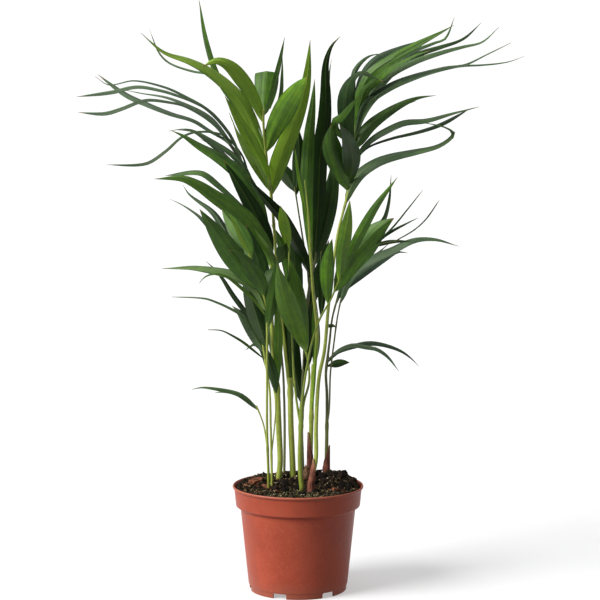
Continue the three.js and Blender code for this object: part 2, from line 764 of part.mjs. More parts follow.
function lookOf(plan, t) {
  const tilt = radians(THREE.MathUtils.lerp(plan.tilt[0], plan.tilt[1], t));
  const turn = radians(THREE.MathUtils.lerp(plan.turn[0], plan.turn[1], t));
  return new THREE.Vector3(Math.sin(turn) * Math.cos(tilt), -Math.cos(turn) * Math.cos(tilt), Math.sin(tilt));
}

// A leaf blade: a thin keel along its middle line, down to a sharp tip.
function blade(route, plan) {
  const steps = THREE.MathUtils.clamp(Math.round(route.length / BLADE_STEP), ...BLADE_STEPS);
  const rings = [];
  for (let i = 0; i < steps; i += 1) {
    const t = i / steps;
    const middle = route.point(t);
    const half = (plan.width * widthShare(t, plan.peak)) / 2;
    const thick = THREE.MathUtils.lerp(BLADE_THICK, TIP_THICK, t);
    const { across, face } = sectionAt(route, t, lookOf(plan, t));
    const edge = (side) => middle.clone()
      .addScaledVector(across, side * half)
      .addScaledVector(face, -KEEL * half);
    const rib = (side) => middle.clone().addScaledVector(face, (side * thick) / 2);
    rings.push([edge(1), rib(1), edge(-1), rib(-1)]);
  }
  rings.push([route.point(1)]);
  return skinned(rings);
}

// ---------------------------------------------------------------- growing clear

// The air is divided into cells. Each blade is sampled, and it is clear where no cell that
// touches a sample's own is held by another stem, nor, away from the roots, by another
// blade of its own stem. A blade that isn't clear tries other depths for its tip.
const CELL = 3;
const SAMPLE = 2.5;
const ROOT_PART = 0.35; // blades of one stem may touch along this part of their length
const DEPTH_STEP = 5;
const DEPTH_TRIES = 16;

const taken = new Map();
const cellOf = (p) => [Math.floor(p.x / CELL), Math.floor(p.y / CELL), Math.floor(p.z / CELL)];

function hold(point, owner) {
  const key = cellOf(point).join();
  if (!taken.has(key)) taken.set(key, new Set());
  taken.get(key).add(owner);
}

function isHeld(point, stem, own) {
  const [i, j, k] = cellOf(point);
  for (let a = i - 1; a <= i + 1; a += 1) {
    for (let b = j - 1; b <= j + 1; b += 1) {
      for (let c = k - 1; c <= k + 1; c += 1) {
        for (const owner of taken.get([a, b, c].join()) ?? []) {
          if (owner.stem !== stem || (own && owner.leaf)) return true;
        }
      }
    }
  }
  return false;
}

function bladeSamples(route, plan) {
  const samples = [];
  const steps = Math.ceil(route.length / SAMPLE);
  for (let i = 0; i <= steps; i += 1) {
    const t = i / steps;
    const half = (plan.width * widthShare(t, plan.peak)) / 2;
    const { across, face } = sectionAt(route, t, lookOf(plan, t));
    const strips = Math.ceil(half / SAMPLE);
    for (let s = -strips; s <= strips; s += 1) {
      const share = strips ? s / strips : 0;
      const point = route.point(t)
        .addScaledVector(across, share * half)
        .addScaledVector(face, -KEEL * half * Math.abs(share));
      samples.push({ point, t });
    }
  }
  return samples;
}

function clearRoute(stem, plan, routeWith) {
  let best = { hits: Infinity };
  for (let n = 0; n <= 2 * DEPTH_TRIES && best.hits > 0; n += 1) {
    const route = routeWith(DEPTH_STEP * Math.ceil(n / 2) * (n % 2 ? 1 : -1));
    const samples = bladeSamples(route, plan);
    const hits = samples.filter(({ point, t }) => isHeld(point, stem, t > ROOT_PART)).length;
    if (hits < best.hits) best = { route, samples, hits };
  }
  const outer = { stem, leaf: true };
  const root = { stem, leaf: false };
  for (const { point, t } of best.samples) hold(point, t > ROOT_PART ? outer : root);
  return best.route;
}

// ---------------------------------------------------------------- the stems

function stalkRoutes(plan) {
  const routes = [];
  for (const { line, depths } of plan.stalks) {
    const points = deepen(line, depths);
    if (routes.length) {
      points[0] = nearestOn(routes, ...line[0]);
    } else {
      points.unshift(new THREE.Vector3(points[0].x, points[0].y, ROOT_Z));
    }
    routes.push(new Route(points));
  }
  return routes;
}

const stemPlans = TRACED_STEMS.map((plan) => ({ ...plan, routes: stalkRoutes(plan) }));

// The stalks hold their cells before any leaf grows.
for (const { name, routes } of stemPlans) {
  for (const route of routes) {
    const steps = Math.ceil(route.length / SAMPLE);
    for (let i = 0; i <= steps; i += 1) {
      hold(route.point(i / steps), { stem: name, leaf: false });
    }
  }
}

function leafyStem({ name, routes, stalks, leaves }) {
  const solids = routes.map((route, i) => {
    const [start, end] = stalks[i].thickness;
    return tube(route, start / 2, end / 2);
  });
  for (const plan of leaves) {
    const root = nearestOn(routes, ...plan.line[0]);
    const routeWith = (shift) => {
      const points = deepen(plan.line, [root.y, plan.tipDepth + shift]);
      points[0] = root;
      return new Route(points);
    };
    solids.push(blade(clearRoute(name, plan, routeWith), plan));
  }
  return wasm.Manifold.union(solids);
}

// ---------------------------------------------------------------- pot and soil

const BAND_LOW = POT_HEIGHT - RIM_BAND;
const LIP_LOW = POT_HEIGHT - LIP;
const STEP_LOW = BAND_LOW - BAND_STEP;
const FLOOR_TOP = FOOT_HEIGHT + WALL;
const FLOOR_CORNER = 3 * ROUND; // the wall meets the floor with a small bevel

const lathed = (profile, sides) => {
  const geometry = new THREE.LatheGeometry(profile.map(([r, z]) => new THREE.Vector2(r, z)), sides);
  return fromGeometry(geometry.rotateX(Math.PI / 2));
};

function pot() {
  const shell = lathed([
    [0, FOOT_HEIGHT],
    [FOOT_RADIUS - WALL - ROUND, FOOT_HEIGHT],
    [FOOT_RADIUS - WALL, FOOT_HEIGHT - ROUND],
    [FOOT_RADIUS - WALL, 0],
    [FOOT_RADIUS, 0],
    [FOOT_RADIUS + ROUND, FOOT_HEIGHT - ROUND],
    [WALL_FOOT_RADIUS, FOOT_HEIGHT + 2 * ROUND],
    [WALL_TOP_RADIUS, STEP_LOW],
    [WALL_TOP_RADIUS + 2 * ROUND, STEP_LOW + ROUND],
    [RIM_BAND_RADIUS - ROUND, BAND_LOW - ROUND / 2],
    [RIM_BAND_RADIUS, BAND_LOW + 2 * ROUND],
    [LIP_RADIUS, LIP_LOW],
    [RIM_RADIUS, LIP_LOW + RIM_RADIUS - LIP_RADIUS],
    [RIM_RADIUS, POT_HEIGHT - 2 * ROUND],
    [RIM_RADIUS - ROUND, POT_HEIGHT],
    [RIM_RADIUS - WALL + ROUND, POT_HEIGHT],
    [RIM_RADIUS - WALL, POT_HEIGHT - ROUND],
    [LIP_RADIUS - WALL, LIP_LOW],
    [RIM_BAND_RADIUS - WALL, BAND_LOW + WALL],
    [WALL_TOP_RADIUS - WALL, STEP_LOW + WALL],
    [WALL_FOOT_RADIUS - WALL, FLOOR_TOP + FLOOR_CORNER],
    [WALL_FOOT_RADIUS - WALL - FLOOR_CORNER, FLOOR_TOP],
    [0, FLOOR_TOP],
  ], POT_SIDES);
  const cuts = [];
  for (let n = 0; n < NOTCHES; n += 1) {
    const bearing = radians(NOTCH_FIRST + (n * 360) / NOTCHES - 90);
    const wide = 2 * FOOT_RADIUS * Math.sin(radians(NOTCH_WIDE / 2));
    const notch = new THREE.BoxGeometry(NOTCH_CUT, wide, 2 * NOTCH_HEIGHT);
    notch.translate(FOOT_RADIUS, 0, 0).rotateZ(bearing);
    cuts.push(fromGeometry(notch));
    const drain = new THREE.CylinderGeometry(DRAIN_RADIUS, DRAIN_RADIUS, 4 * WALL, DRAIN_SIDES);
    drain.rotateX(Math.PI / 2).translate(DRAIN_RING, 0, FOOT_HEIGHT + WALL / 2).rotateZ(bearing);
    cuts.push(fromGeometry(drain));
  }
  return shell.subtract(wasm.Manifold.union(cuts));
}

function soilHeight(x, y) {
  let height = SOIL_TOP + SOIL_LUMP * Math.sin(x / SOIL_LUMP_SIZE + 1) * Math.cos(y / SOIL_LUMP_SIZE);
  for (const { height: rise, at, wide } of SOIL_SWELLS) {
    height += rise * Math.exp(-(((x - at[0]) / wide[0]) ** 2) - ((y - at[1]) / wide[1]) ** 2);
  }
  return height;
}

const ringOf = (radius, heightAt) => Array.from({ length: SOIL_SIDES }, (_, k) => {
  const angle = (2 * Math.PI * k) / SOIL_SIDES;
  const x = radius * Math.cos(angle);
  const y = radius * Math.sin(angle);
  return new THREE.Vector3(x, y, heightAt(x, y));
});

function soil(beddedIn) {
  const edgeTop = POT_HEIGHT - 2 * ROUND;
  const rings = [
    ringOf(WALL_FOOT_RADIUS - WALL - FLOOR_CORNER - SOIL_GAP, () => FLOOR_TOP + GAP),
    ringOf(WALL_TOP_RADIUS - WALL - SOIL_GAP, () => STEP_LOW + WALL),
    ringOf(RIM_BAND_RADIUS - WALL - SOIL_GAP, () => BAND_LOW + WALL + SOIL_GAP),
    ringOf(LIP_RADIUS - WALL - SOIL_GAP, (x, y) => Math.min(soilHeight(x, y), edgeTop)),
  ];
  for (const radius of SOIL_RINGS) rings.push(ringOf(radius, soilHeight));
  rings.push([new THREE.Vector3(0, 0, soilHeight(0, 0))]);
  return skinned(rings).subtract(wasm.Manifold.union(beddedIn));
}

// Radius of a hole of so many sides that clears a round stalk.
const holeRadius = (thickness, sides) => (thickness / 2 + GAP) / Math.cos(Math.PI / sides);

// A plain hole that a stem stands in.
function stemHole({ routes: [route], stalks: [{ thickness }] }) {
  const radius = holeRadius(thickness[0], HOLE_SIDES);
  const foot = route.point(0).setZ(ROOT_Z - GAP);
  return tube(new Route([foot, route.points[1], route.points[2]]), radius, radius, HOLE_SIDES);
}

// ---------------------------------------------------------------- sheaths and bark

// A dry husk that wraps the foot of a stem and ends in a pointed strip at one side. reach is
// where it starts and ends along the stem, lean is the side its tip stands off to, and grow
// is how thick the husk is.
const SHEATHS = [
  {
    name: "sheath_right_middle",
    of: "leafy_stem_right_middle",
    reach: [0.09, 0.52],
    lean: [-1, -0.3],
    grow: 0.9,
  },
  {
    name: "sheath_right_front",
    of: "leafy_stem_right_front",
    reach: [0.045, 0.2],
    lean: [-1, -0.2],
    grow: 0.8,
  },
  {
    name: "sheath_right",
    of: "leafy_stem_right",
    reach: [0.09, 0.3],
    lean: [1, -0.4],
    grow: 1.3,
  },
];
const SHEATH_STEPS = 6;
const SHEATH_TIP = 0.7; // radius of its pointed end

function sheath({ of, reach, lean, grow }, spare = 0) {
  const { routes: [route], stalks: [{ thickness }] } = stemPlans.find(({ name }) => name === of);
  const aside = new THREE.Vector3(...lean, 0).normalize();
  const [footHole, topHole] = thickness.map((size) => holeRadius(size, STALK_SIDES));
  const rings = [];
  for (let i = 0; i <= SHEATH_STEPS; i += 1) {
    const share = i / SHEATH_STEPS;
    const t = THREE.MathUtils.lerp(...reach, share);
    const radius = THREE.MathUtils.lerp(footHole + grow, SHEATH_TIP, share ** 2) + spare;
    const middle = route.point(t).addScaledVector(aside, footHole * share ** 1.5);
    const { across, face } = sectionAt(route, t, FRONT);
    rings.push(Array.from({ length: HOLE_SIDES }, (_, k) => {
      const angle = (2 * Math.PI * k) / HOLE_SIDES;
      return middle.clone()
        .addScaledVector(across, radius * Math.cos(angle))
        .addScaledVector(face, radius * Math.sin(angle));
    }));
  }
  const outer = skinned(rings);
  return spare ? outer : outer.subtract(tube(route, footHole, topHole));
}

// Bark chips bedded in the soil: where each lies, its size, and its turn about X, Y and Z.
const CHIPS = [
  { name: "bark_chip_left", at: [-39, 12], size: [14, 8, 4], turn: [12, -8, 20] },
  { name: "bark_chip_front", at: [-34, -26], size: [9, 5, 3], turn: [-10, 6, -35] },
  { name: "bark_chip_right", at: [34, -22], size: [10, 6, 3.4], turn: [8, 14, 50] },
  { name: "bark_chip_back", at: [-12, 46], size: [11, 6, 4], turn: [-6, 10, 75] },
];
const CHIP_RISE = 0.25; // its middle lies this share of its thickness above the soil
const CHIP_OUTLINE = [
  [-0.5, -0.3],
  [-0.2, -0.5],
  [0.35, -0.42],
  [0.5, 0.05],
  [0.3, 0.5],
  [-0.25, 0.42],
  [-0.46, 0.2],
];

function chip({ at: [x, y], size, turn }, spare = 0) {
  const [long, wide, thick] = size.map((side) => side + 2 * spare);
  const shape = new THREE.Shape(CHIP_OUTLINE.map(([u, v]) => new THREE.Vector2(u * long, v * wide)));
  const geometry = new THREE.ExtrudeGeometry(shape, { depth: thick, bevelEnabled: false });
  geometry.translate(0, 0, -thick / 2);
  geometry.rotateX(radians(turn[0])).rotateY(radians(turn[1])).rotateZ(radians(turn[2]));
  geometry.translate(x, y, soilHeight(x, y) + CHIP_RISE * size[2]);
  return fromGeometry(geometry);
}

// ---------------------------------------------------------------- the whole

const palm = new THREE.Group();
palm.name = "potted_palm";
palm.add(meshFrom("pot", pot(), POT_COLOUR, 0.45));
for (const plan of stemPlans) {
  palm.add(meshFrom(plan.name, leafyStem(plan), plan.colour));
}
for (const plan of SHEATHS) {
  palm.add(meshFrom(plan.name, sheath(plan), HUSK_COLOUR, 0.8));
}
for (const plan of CHIPS) {
  palm.add(meshFrom(plan.name, chip(plan), BARK_COLOUR, 0.9));
}
palm.add(meshFrom("soil", soil([
  ...stemPlans.map(stemHole),
  ...SHEATHS.map((plan) => sheath(plan, GAP)),
  ...CHIPS.map((plan) => chip(plan, GAP)),
]), SOIL_COLOUR, 0.95));

export default palm;
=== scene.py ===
"""A potted palm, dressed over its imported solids.

The plant's lines and the pot's sizes are written in millimetres, the lines as they are seen
from the front. Everything made from them is in metres, with +Z up and -Y to the front.
"""

import itertools
import math
from dataclasses import dataclass

import bmesh
import bpy
import numpy as np
from mathutils import Matrix, Vector, noise


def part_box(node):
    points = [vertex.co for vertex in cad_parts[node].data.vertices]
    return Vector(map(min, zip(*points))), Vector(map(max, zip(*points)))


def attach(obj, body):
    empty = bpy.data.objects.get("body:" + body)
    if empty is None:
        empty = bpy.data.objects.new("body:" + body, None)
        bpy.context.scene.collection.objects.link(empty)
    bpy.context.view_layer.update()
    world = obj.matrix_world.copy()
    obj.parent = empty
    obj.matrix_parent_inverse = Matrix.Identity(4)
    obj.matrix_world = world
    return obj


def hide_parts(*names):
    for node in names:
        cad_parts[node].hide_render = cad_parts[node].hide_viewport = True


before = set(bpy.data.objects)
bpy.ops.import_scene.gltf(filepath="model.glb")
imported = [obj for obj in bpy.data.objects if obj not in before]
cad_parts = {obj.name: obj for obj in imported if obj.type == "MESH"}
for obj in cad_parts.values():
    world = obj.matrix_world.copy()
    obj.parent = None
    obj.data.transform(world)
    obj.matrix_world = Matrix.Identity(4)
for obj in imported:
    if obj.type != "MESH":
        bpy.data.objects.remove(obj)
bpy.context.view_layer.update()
MM = 0.001

# ---------------------------------------------------------------- the eye and the pot

EYE_DISTANCE = 1800  # in front of the pot's axis
EYE_HEIGHT = 466
EYE_SIDE = 1.8  # the eye stands this far to the right of the pot's axis
EYE_PITCH = 6.3  # degrees downwards
FOCAL_PIXELS = 1993
PICTURE_PIXELS = 600
SENSOR = 36  # millimetres

RIM_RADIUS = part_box("pot")[1].x / MM
POT_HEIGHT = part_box("pot")[1].z / MM
RIM_BAND = 18.6
RIM_BAND_RADIUS = 57
LIP = 3.6
LIP_RADIUS = 58.4
BAND_STEP = 2.6  # height of the slope under the band
WALL_TOP_RADIUS = 52.8
WALL_FOOT_RADIUS = 45.6
FOOT_RADIUS = 44.4
WALL = 1.4
FOOT_HEIGHT = 5  # under the raised floor
NOTCHES = 6
NOTCH_FIRST = -82  # degrees from the front
NOTCH_WIDE = 16.5  # degrees
NOTCH_HEIGHT = 4.9
NOTCH_CUT = 12
DRAIN_RADIUS = 4
DRAIN_RING = 36  # radius of the ring of drain holes
ROUND = 0.5  # rounding of the pot's corners
FOOT_ROUND = 0.3
POT_SEGMENTS = 160

BAND_LOW = POT_HEIGHT - RIM_BAND
LIP_LOW = POT_HEIGHT - LIP
STEP_LOW = BAND_LOW - BAND_STEP
FLOOR_TOP = FOOT_HEIGHT + WALL

GAP = 0.3  # between solids that fit in one another
SOIL_GAP = 0.5  # between the soil and the pot's wall
SOIL_TOP = 95.5
SOIL_LUMP = 1.4  # height of its even lumps
SOIL_LUMP_SIZE = 4
SOIL_SWELLS = [  # height, where it lies, how wide it is
    (4.5, (-4, 34), (34, 16)),
    (9.5, (39, 18), (15, 20)),
    (-2, (-6, -20), (24, 20)),
]
ROOT_Z = 70  # the height at which every stem starts, down in the soil

KEEL = 0.22  # depth of a blade's fold as a share of its half width
ROOT_SHARE = 0.3  # width of a blade at its root, as a share of its full width
TIP_POWER = 1.8  # the higher, the blunter its tip

# ---------------------------------------------------------------- the plant's plan

# How light a leaf is painted, from the shaded inner leaves to the sunlit young ones:
# partly a leaf's own colour, partly painted shade on inner leaves and painted light on lit ones.
DEEP, DARK, GREEN, FRESH, BRIGHT, LIME = 0.0, 0.25, 0.5, 0.63, 0.75, 1.0


@dataclass
class Stalk:
    """The line it follows, its depth at both ends and its thickness at both ends."""

    line: list
    depths: tuple
    thickness: tuple


@dataclass
class Leaf:
    """The middle line of a blade, the depth of its tip and its full width.

    tilt turns its upper face from the front to the sky and turn from the front to +X, in
    degrees at the root and at the tip. peak is where it is widest. tone is how light it is,
    partly its own colour and partly painted shade and light; the last value is how much of a
    painted grey reflection its colour takes. Both are the stem's own where they aren't given.
    """

    line: list
    tip_depth: float
    width: float
    tilt: tuple = (25, 45)
    turn: tuple = (0, 0)
    peak: float = 0.4
    tone: float = None
    waxy: float = None


@dataclass
class Stem:
    """A leafy stem: the name of its solid, its slot, the looks its leaves share, and its parts."""

    name: str
    slot: str
    tone: float
    waxy: float
    stalk_tone: float
    stalks: list
    leaves: list


# Stem at the left front: the lowest leaf and the broad bright frond above the middle.
STEM_LEFT_FRONT = Stem(
    "leafy_stem_left_front", slot="leaf_bright", tone=GREEN, waxy=0.1, stalk_tone=LIME,
    stalks=[
        Stalk([(-27, 99), (-28.4, 150), (-28.3, 200), (-29, 262), (-35, 283), (-45, 312)],
            (-10, -58), (2.6, 1.6)),
        Stalk([(-28.4, 128), (-31, 150), (-34, 160), (-38, 170)], (-10, -14), (1.6, 1.2)),
    ],
    leaves=[
        Leaf([(-34, 277), (-46, 292), (-60, 309), (-75, 330), (-89, 350)],
            -66, 20, (20, 25), (-10, -10)),
        Leaf([(-30, 269), (-35, 284), (-42, 296), (-49, 305), (-56, 311), (-63, 313)],
            -74, 14, (20, 45), (-20, 0)),
        Leaf([(-29, 262), (-24, 290), (-18, 306), (-14, 316), (-12.5, 317), (-11.5, 311), (-11, 304)],
            -12, 18, (15, 165), (10, 0), 0.5, waxy=0.3),
        Leaf([(-28.4, 238), (-24, 262), (-20, 284), (-19, 306)], -20, 12, (15, 15), (20, 20), 0.5),
        Leaf([(-42, 306), (-48, 318), (-56, 332), (-69, 350)], -58, 17, (15, 15), (0, 0), 0.45),
        Leaf([(-44, 309), (-50, 320), (-55, 331), (-62, 346)], -80, 4, (20, 20), (0, 0),
            tone=LIME, waxy=0),
        Leaf([(-38, 169), (-50, 179), (-60, 183), (-75, 186), (-88, 187), (-97, 185)],
            -30, 6, (50, 60), waxy=0.5),
        Leaf([(-36, 166), (-47, 176), (-55, 181), (-65, 183), (-76, 182)], -8, 6, (50, 60), waxy=0.5),
        Leaf([(-29, 257), (-37, 275), (-47, 285), (-59, 291), (-71, 294), (-95, 297), (-123, 296)],
            -88, 12, (40, 65), tone=BRIGHT, waxy=0.6),
        Leaf([(-28.6, 250), (-40, 268), (-60, 286), (-70, 291), (-78, 291), (-85, 288), (-90, 282)],
            -72, 6, (50, 60), tone=BRIGHT, waxy=0.2),
        Leaf([(-28.3, 223), (-36, 247), (-43, 270), (-50, 293)], 10, 16, (15, 20), (-10, -10), 0.5,
            tone=DEEP, waxy=0),
    ],
)

# Stem behind it: narrow leaves that reach out low to the left.
STEM_LEFT = Stem(
    "leafy_stem_left", slot="leaf_dark", tone=DARK, waxy=0.2, stalk_tone=LIME,
    stalks=[
        Stalk([(-24, 99), (-25, 150), (-26, 185), (-30, 212), (-32, 230), (-33, 260)],
            (0, 10), (2.4, 1.6)),
        Stalk([(-23.6, 125), (-21.6, 150), (-20.4, 165), (-20, 182)], (0, 8), (1.4, 1.2)),
        Stalk([(-31, 222), (-35, 250), (-41, 272)], (5, 0), (1.8, 1.5)),
    ],
    leaves=[
        Leaf([(-32, 236), (-52, 262), (-60, 273), (-68, 286), (-75, 295), (-84, 303)],
            -24, 5, (45, 45), (-20, -20), waxy=0.5),
        Leaf([(-32, 228), (-40, 244), (-50, 253), (-58, 258), (-75, 266), (-85, 269), (-115, 270)],
            6, 6, (70, 80), tone=GREEN, waxy=0.6),
        Leaf([(-31.4, 220), (-42, 240), (-53, 256), (-60, 262)], 34, 12, (20, 50)),
        Leaf([(-30, 212), (-40, 221), (-50, 229), (-60, 235), (-70, 239.5), (-82, 240)],
            -16, 4, (50, 60), tone=GREEN, waxy=0.3),
        Leaf([(-20, 180), (-22, 195), (-27, 212), (-33, 224), (-40, 227), (-48, 221)],
            16, 10, (20, 60), (-20, 0)),
        Leaf([(-33, 252), (-33, 281), (-36, 302), (-42, 319), (-47, 336)],
            18, 17, (20, 30), (-10, -10), 0.5, waxy=0.1),
        Leaf([(-40, 270), (-55, 310), (-73, 342), (-80, 350), (-90, 357), (-99, 364), (-104, 372)],
            14, 8, (40, 45), waxy=0.6),
        Leaf([(-40, 266), (-60, 308), (-88, 342), (-97, 349), (-105, 354), (-116, 359)],
            -6, 6, (50, 70), waxy=0.6),
    ],
)

# Thick stem left of the middle: a frond of broad leaves that arch to the left.
STEM_LEFT_MIDDLE = Stem(
    "leafy_stem_left_middle", slot="leaf_green", tone=GREEN, waxy=0.1, stalk_tone=LIME,
    stalks=[
        Stalk([(-17.6, 101), (-16.4, 120), (-17.6, 150), (-19, 180), (-20.6, 197)],
            (22, 26), (5, 5.8)),
        Stalk([(-19.4, 186), (-21, 200), (-24, 250), (-24, 290), (-25.6, 315), (-29, 336)],
            (26, 34), (5, 1.6)),
    ],
    leaves=[
        Leaf([(-23.5, 296), (-28, 315), (-38, 331), (-48, 343), (-60, 352), (-75, 362), (-90, 372),
            (-105, 378), (-130, 377)], -8, 17, (25, 45), tone=FRESH),
        Leaf([(-27, 325), (-38, 342), (-50, 352), (-60, 361), (-71, 371), (-85, 382), (-95, 383.5),
            (-120, 380)], 48, 8, (78, 45), (0, 0), 0.7, waxy=0.4),
        Leaf([(-27, 324), (-31, 339), (-36, 354), (-43, 368), (-51, 380), (-62, 390), (-75, 399),
            (-89, 407), (-103, 416), (-115, 421)], 46, 14, (20, 45), (-10, 0), 0.4),
        Leaf([(-29, 334), (-40, 366), (-50, 389), (-60, 400), (-80, 413), (-95, 421), (-105, 422),
            (-117, 420)], 84, 7, (40, 55), tone=DARK, waxy=0.4),
        Leaf([(-24.6, 303), (-29, 325), (-37, 343), (-47, 361), (-56, 376), (-67, 394)],
            22, 15, (25, 25), (-10, -10), 0.35, tone=DEEP),
        Leaf([(-19, 184), (-18, 215), (-18, 245), (-21, 272)], 22, 9, (10, 10), (20, 20), 0.5,
            tone=BRIGHT, waxy=0),
        Leaf([(-21, 204), (-24.5, 230), (-26.5, 255), (-28, 278)],
            34, 8, (10, 10), (-30, -30), 0.5),
    ],
)

# Thin stem at the back left: a frond of narrow leaves, seen almost edge-on, far to the left.
STEM_LEFT_BACK = Stem(
    "leafy_stem_left_back", slot="leaf_dark", tone=GREEN, waxy=0.85, stalk_tone=DEEP,
    stalks=[
        Stalk([(-12.7, 103), (-12.3, 150), (-13, 185), (-14, 205), (-20, 260), (-30, 330),
            (-38, 366), (-48, 388), (-62, 408)], (38, 76), (2.6, 1.4)),
    ],
    leaves=[
        Leaf([(-44, 380), (-50, 398), (-60, 411), (-70, 418), (-90, 420), (-105, 415), (-120, 402),
            (-138, 391), (-173, 390)], 28, 5.5, (80, 45), (0, 0), 0.7, tone=DARK, waxy=0.4),
        Leaf([(-46, 385), (-55, 401), (-65, 412), (-80, 421), (-95, 430), (-115, 436), (-135, 444),
            (-155, 453), (-180, 471)], 104, 6.5, (70, 36), (0, 0), 0.74),
        Leaf([(-49, 390), (-55, 405), (-63, 420), (-80, 439), (-100, 451), (-120, 460),
            (-147, 465.5), (-170, 461.5), (-182, 469)], 52, 6, (60, 70)),
        Leaf([(-52, 394), (-60, 415), (-75, 435), (-85, 442), (-105, 451), (-125, 457), (-145, 460),
            (-168, 455), (-199, 451)], 84, 5, (82, 30), (0, 0), 0.8),
        Leaf([(-56, 399), (-66, 417), (-80, 433), (-100, 444), (-120, 451), (-140, 454), (-157, 457)],
            116, 6, (60, 66)),
        Leaf([(-60, 405), (-75, 425), (-100, 442), (-120, 447), (-137, 448), (-160, 440),
            (-175, 436), (-198, 437)], 100, 5, (78, 30), (0, 0), 0.8),
        Leaf([(-41, 371), (-50, 382), (-60, 392), (-70, 402), (-85, 414), (-95, 420), (-108, 421)],
            128, 6, (55, 62), tone=DARK, waxy=0.4),
        Leaf([(-38, 364), (-46, 374), (-54, 384), (-65, 396), (-77, 407), (-88, 413)],
            116, 5, (50, 60), waxy=0.8),
    ],
)

# Thick stem in the middle: the tall bright frond at the upper left.
STEM_MIDDLE = Stem(
    "leafy_stem_middle", slot="leaf_bright", tone=LIME, waxy=0, stalk_tone=LIME,
    stalks=[
        Stalk([(-4.6, 103), (-5.2, 120), (-6.5, 150), (-7, 180), (-7, 196)], (28, 26), (6, 5)),
        Stalk([(-7, 182), (-10, 205), (-15, 250), (-18, 272), (-21, 323), (-22.6, 345)],
            (26, 44), (3.4, 2.6)),
        Stalk([(-22, 336), (-24, 360), (-28, 392), (-31, 425), (-31, 440)], (43, -22), (2.7, 1.8)),
    ],
    leaves=[
        Leaf([(-31, 427), (-36, 442), (-43, 456), (-51, 468), (-59, 477), (-67, 482), (-75, 483),
            (-85, 478)], -64, 14, (10, 35), (0, 0), 0.55),
        Leaf([(-28, 396), (-35, 413), (-42, 430), (-50, 445), (-60, 458), (-78, 473), (-97, 483),
            (-120, 491), (-141, 508)], -34, 14, (25, 62), (0, 0), 0.35, waxy=0.15),
        Leaf([(-27, 385), (-42, 420), (-58, 446), (-70, 464), (-78, 483), (-84, 506), (-88.5, 537)],
            2, 7, (30, 30), (-40, -50), 0.72, tone=GREEN),
        Leaf([(-30, 412), (-48, 447), (-75, 470), (-95, 474), (-115, 481), (-125, 491), (-133, 511)],
            20, 5, (60, 65), tone=GREEN, waxy=0.6),
        Leaf([(-25, 371), (-32, 390), (-42, 410), (-52, 428), (-60, 442), (-66, 452)],
            -44, 12, (25, 40), (-20, -20)),
        Leaf([(-25, 366), (-38, 390), (-47, 405), (-55, 420), (-62, 437)],
            -74, 9, (20, 40), (-10, -10)),
        Leaf([(-31, 434), (-30, 450), (-28.5, 468), (-28, 474), (-27.5, 472), (-26, 456), (-25, 440)],
            24, 22, (5, 175), (-5, -5), 0.5, tone=GREEN),
        Leaf([(-31, 433), (-24, 452), (-18, 474), (-15, 487), (-12, 504)],
            -2, 6, (10, 10), (40, 50), 0.55, tone=GREEN, waxy=0.2),
        Leaf([(-30, 418), (-20, 436), (-15, 452), (-14, 470), (-14, 487)],
            16, 6, (10, 10), (50, 50), 0.5, tone=GREEN, waxy=0.2),
        Leaf([(-29, 402), (-22, 421), (-14, 437), (-6, 450), (3, 463), (9, 469)],
            -66, 20, (10, 30), (0, 10), 0.55, tone=BRIGHT),
        Leaf([(-24, 362), (-19, 385), (-12, 405), (-4, 425), (3, 445), (8, 466), (11, 502)],
            -38, 17, (10, 10), (10, 20), 0.24),
        Leaf([(-6, 194), (-7.5, 220), (-6.5, 250), (-3, 282), (-4, 318), (-12, 347)],
            50, 15, (10, 20), (0, 0), 0.5, tone=DARK),
        Leaf([(-18, 272), (-21, 296), (-25, 309), (-33, 322), (-40, 333)],
            -76, 7, (15, 20), (-10, -10), tone=BRIGHT),
    ],
)

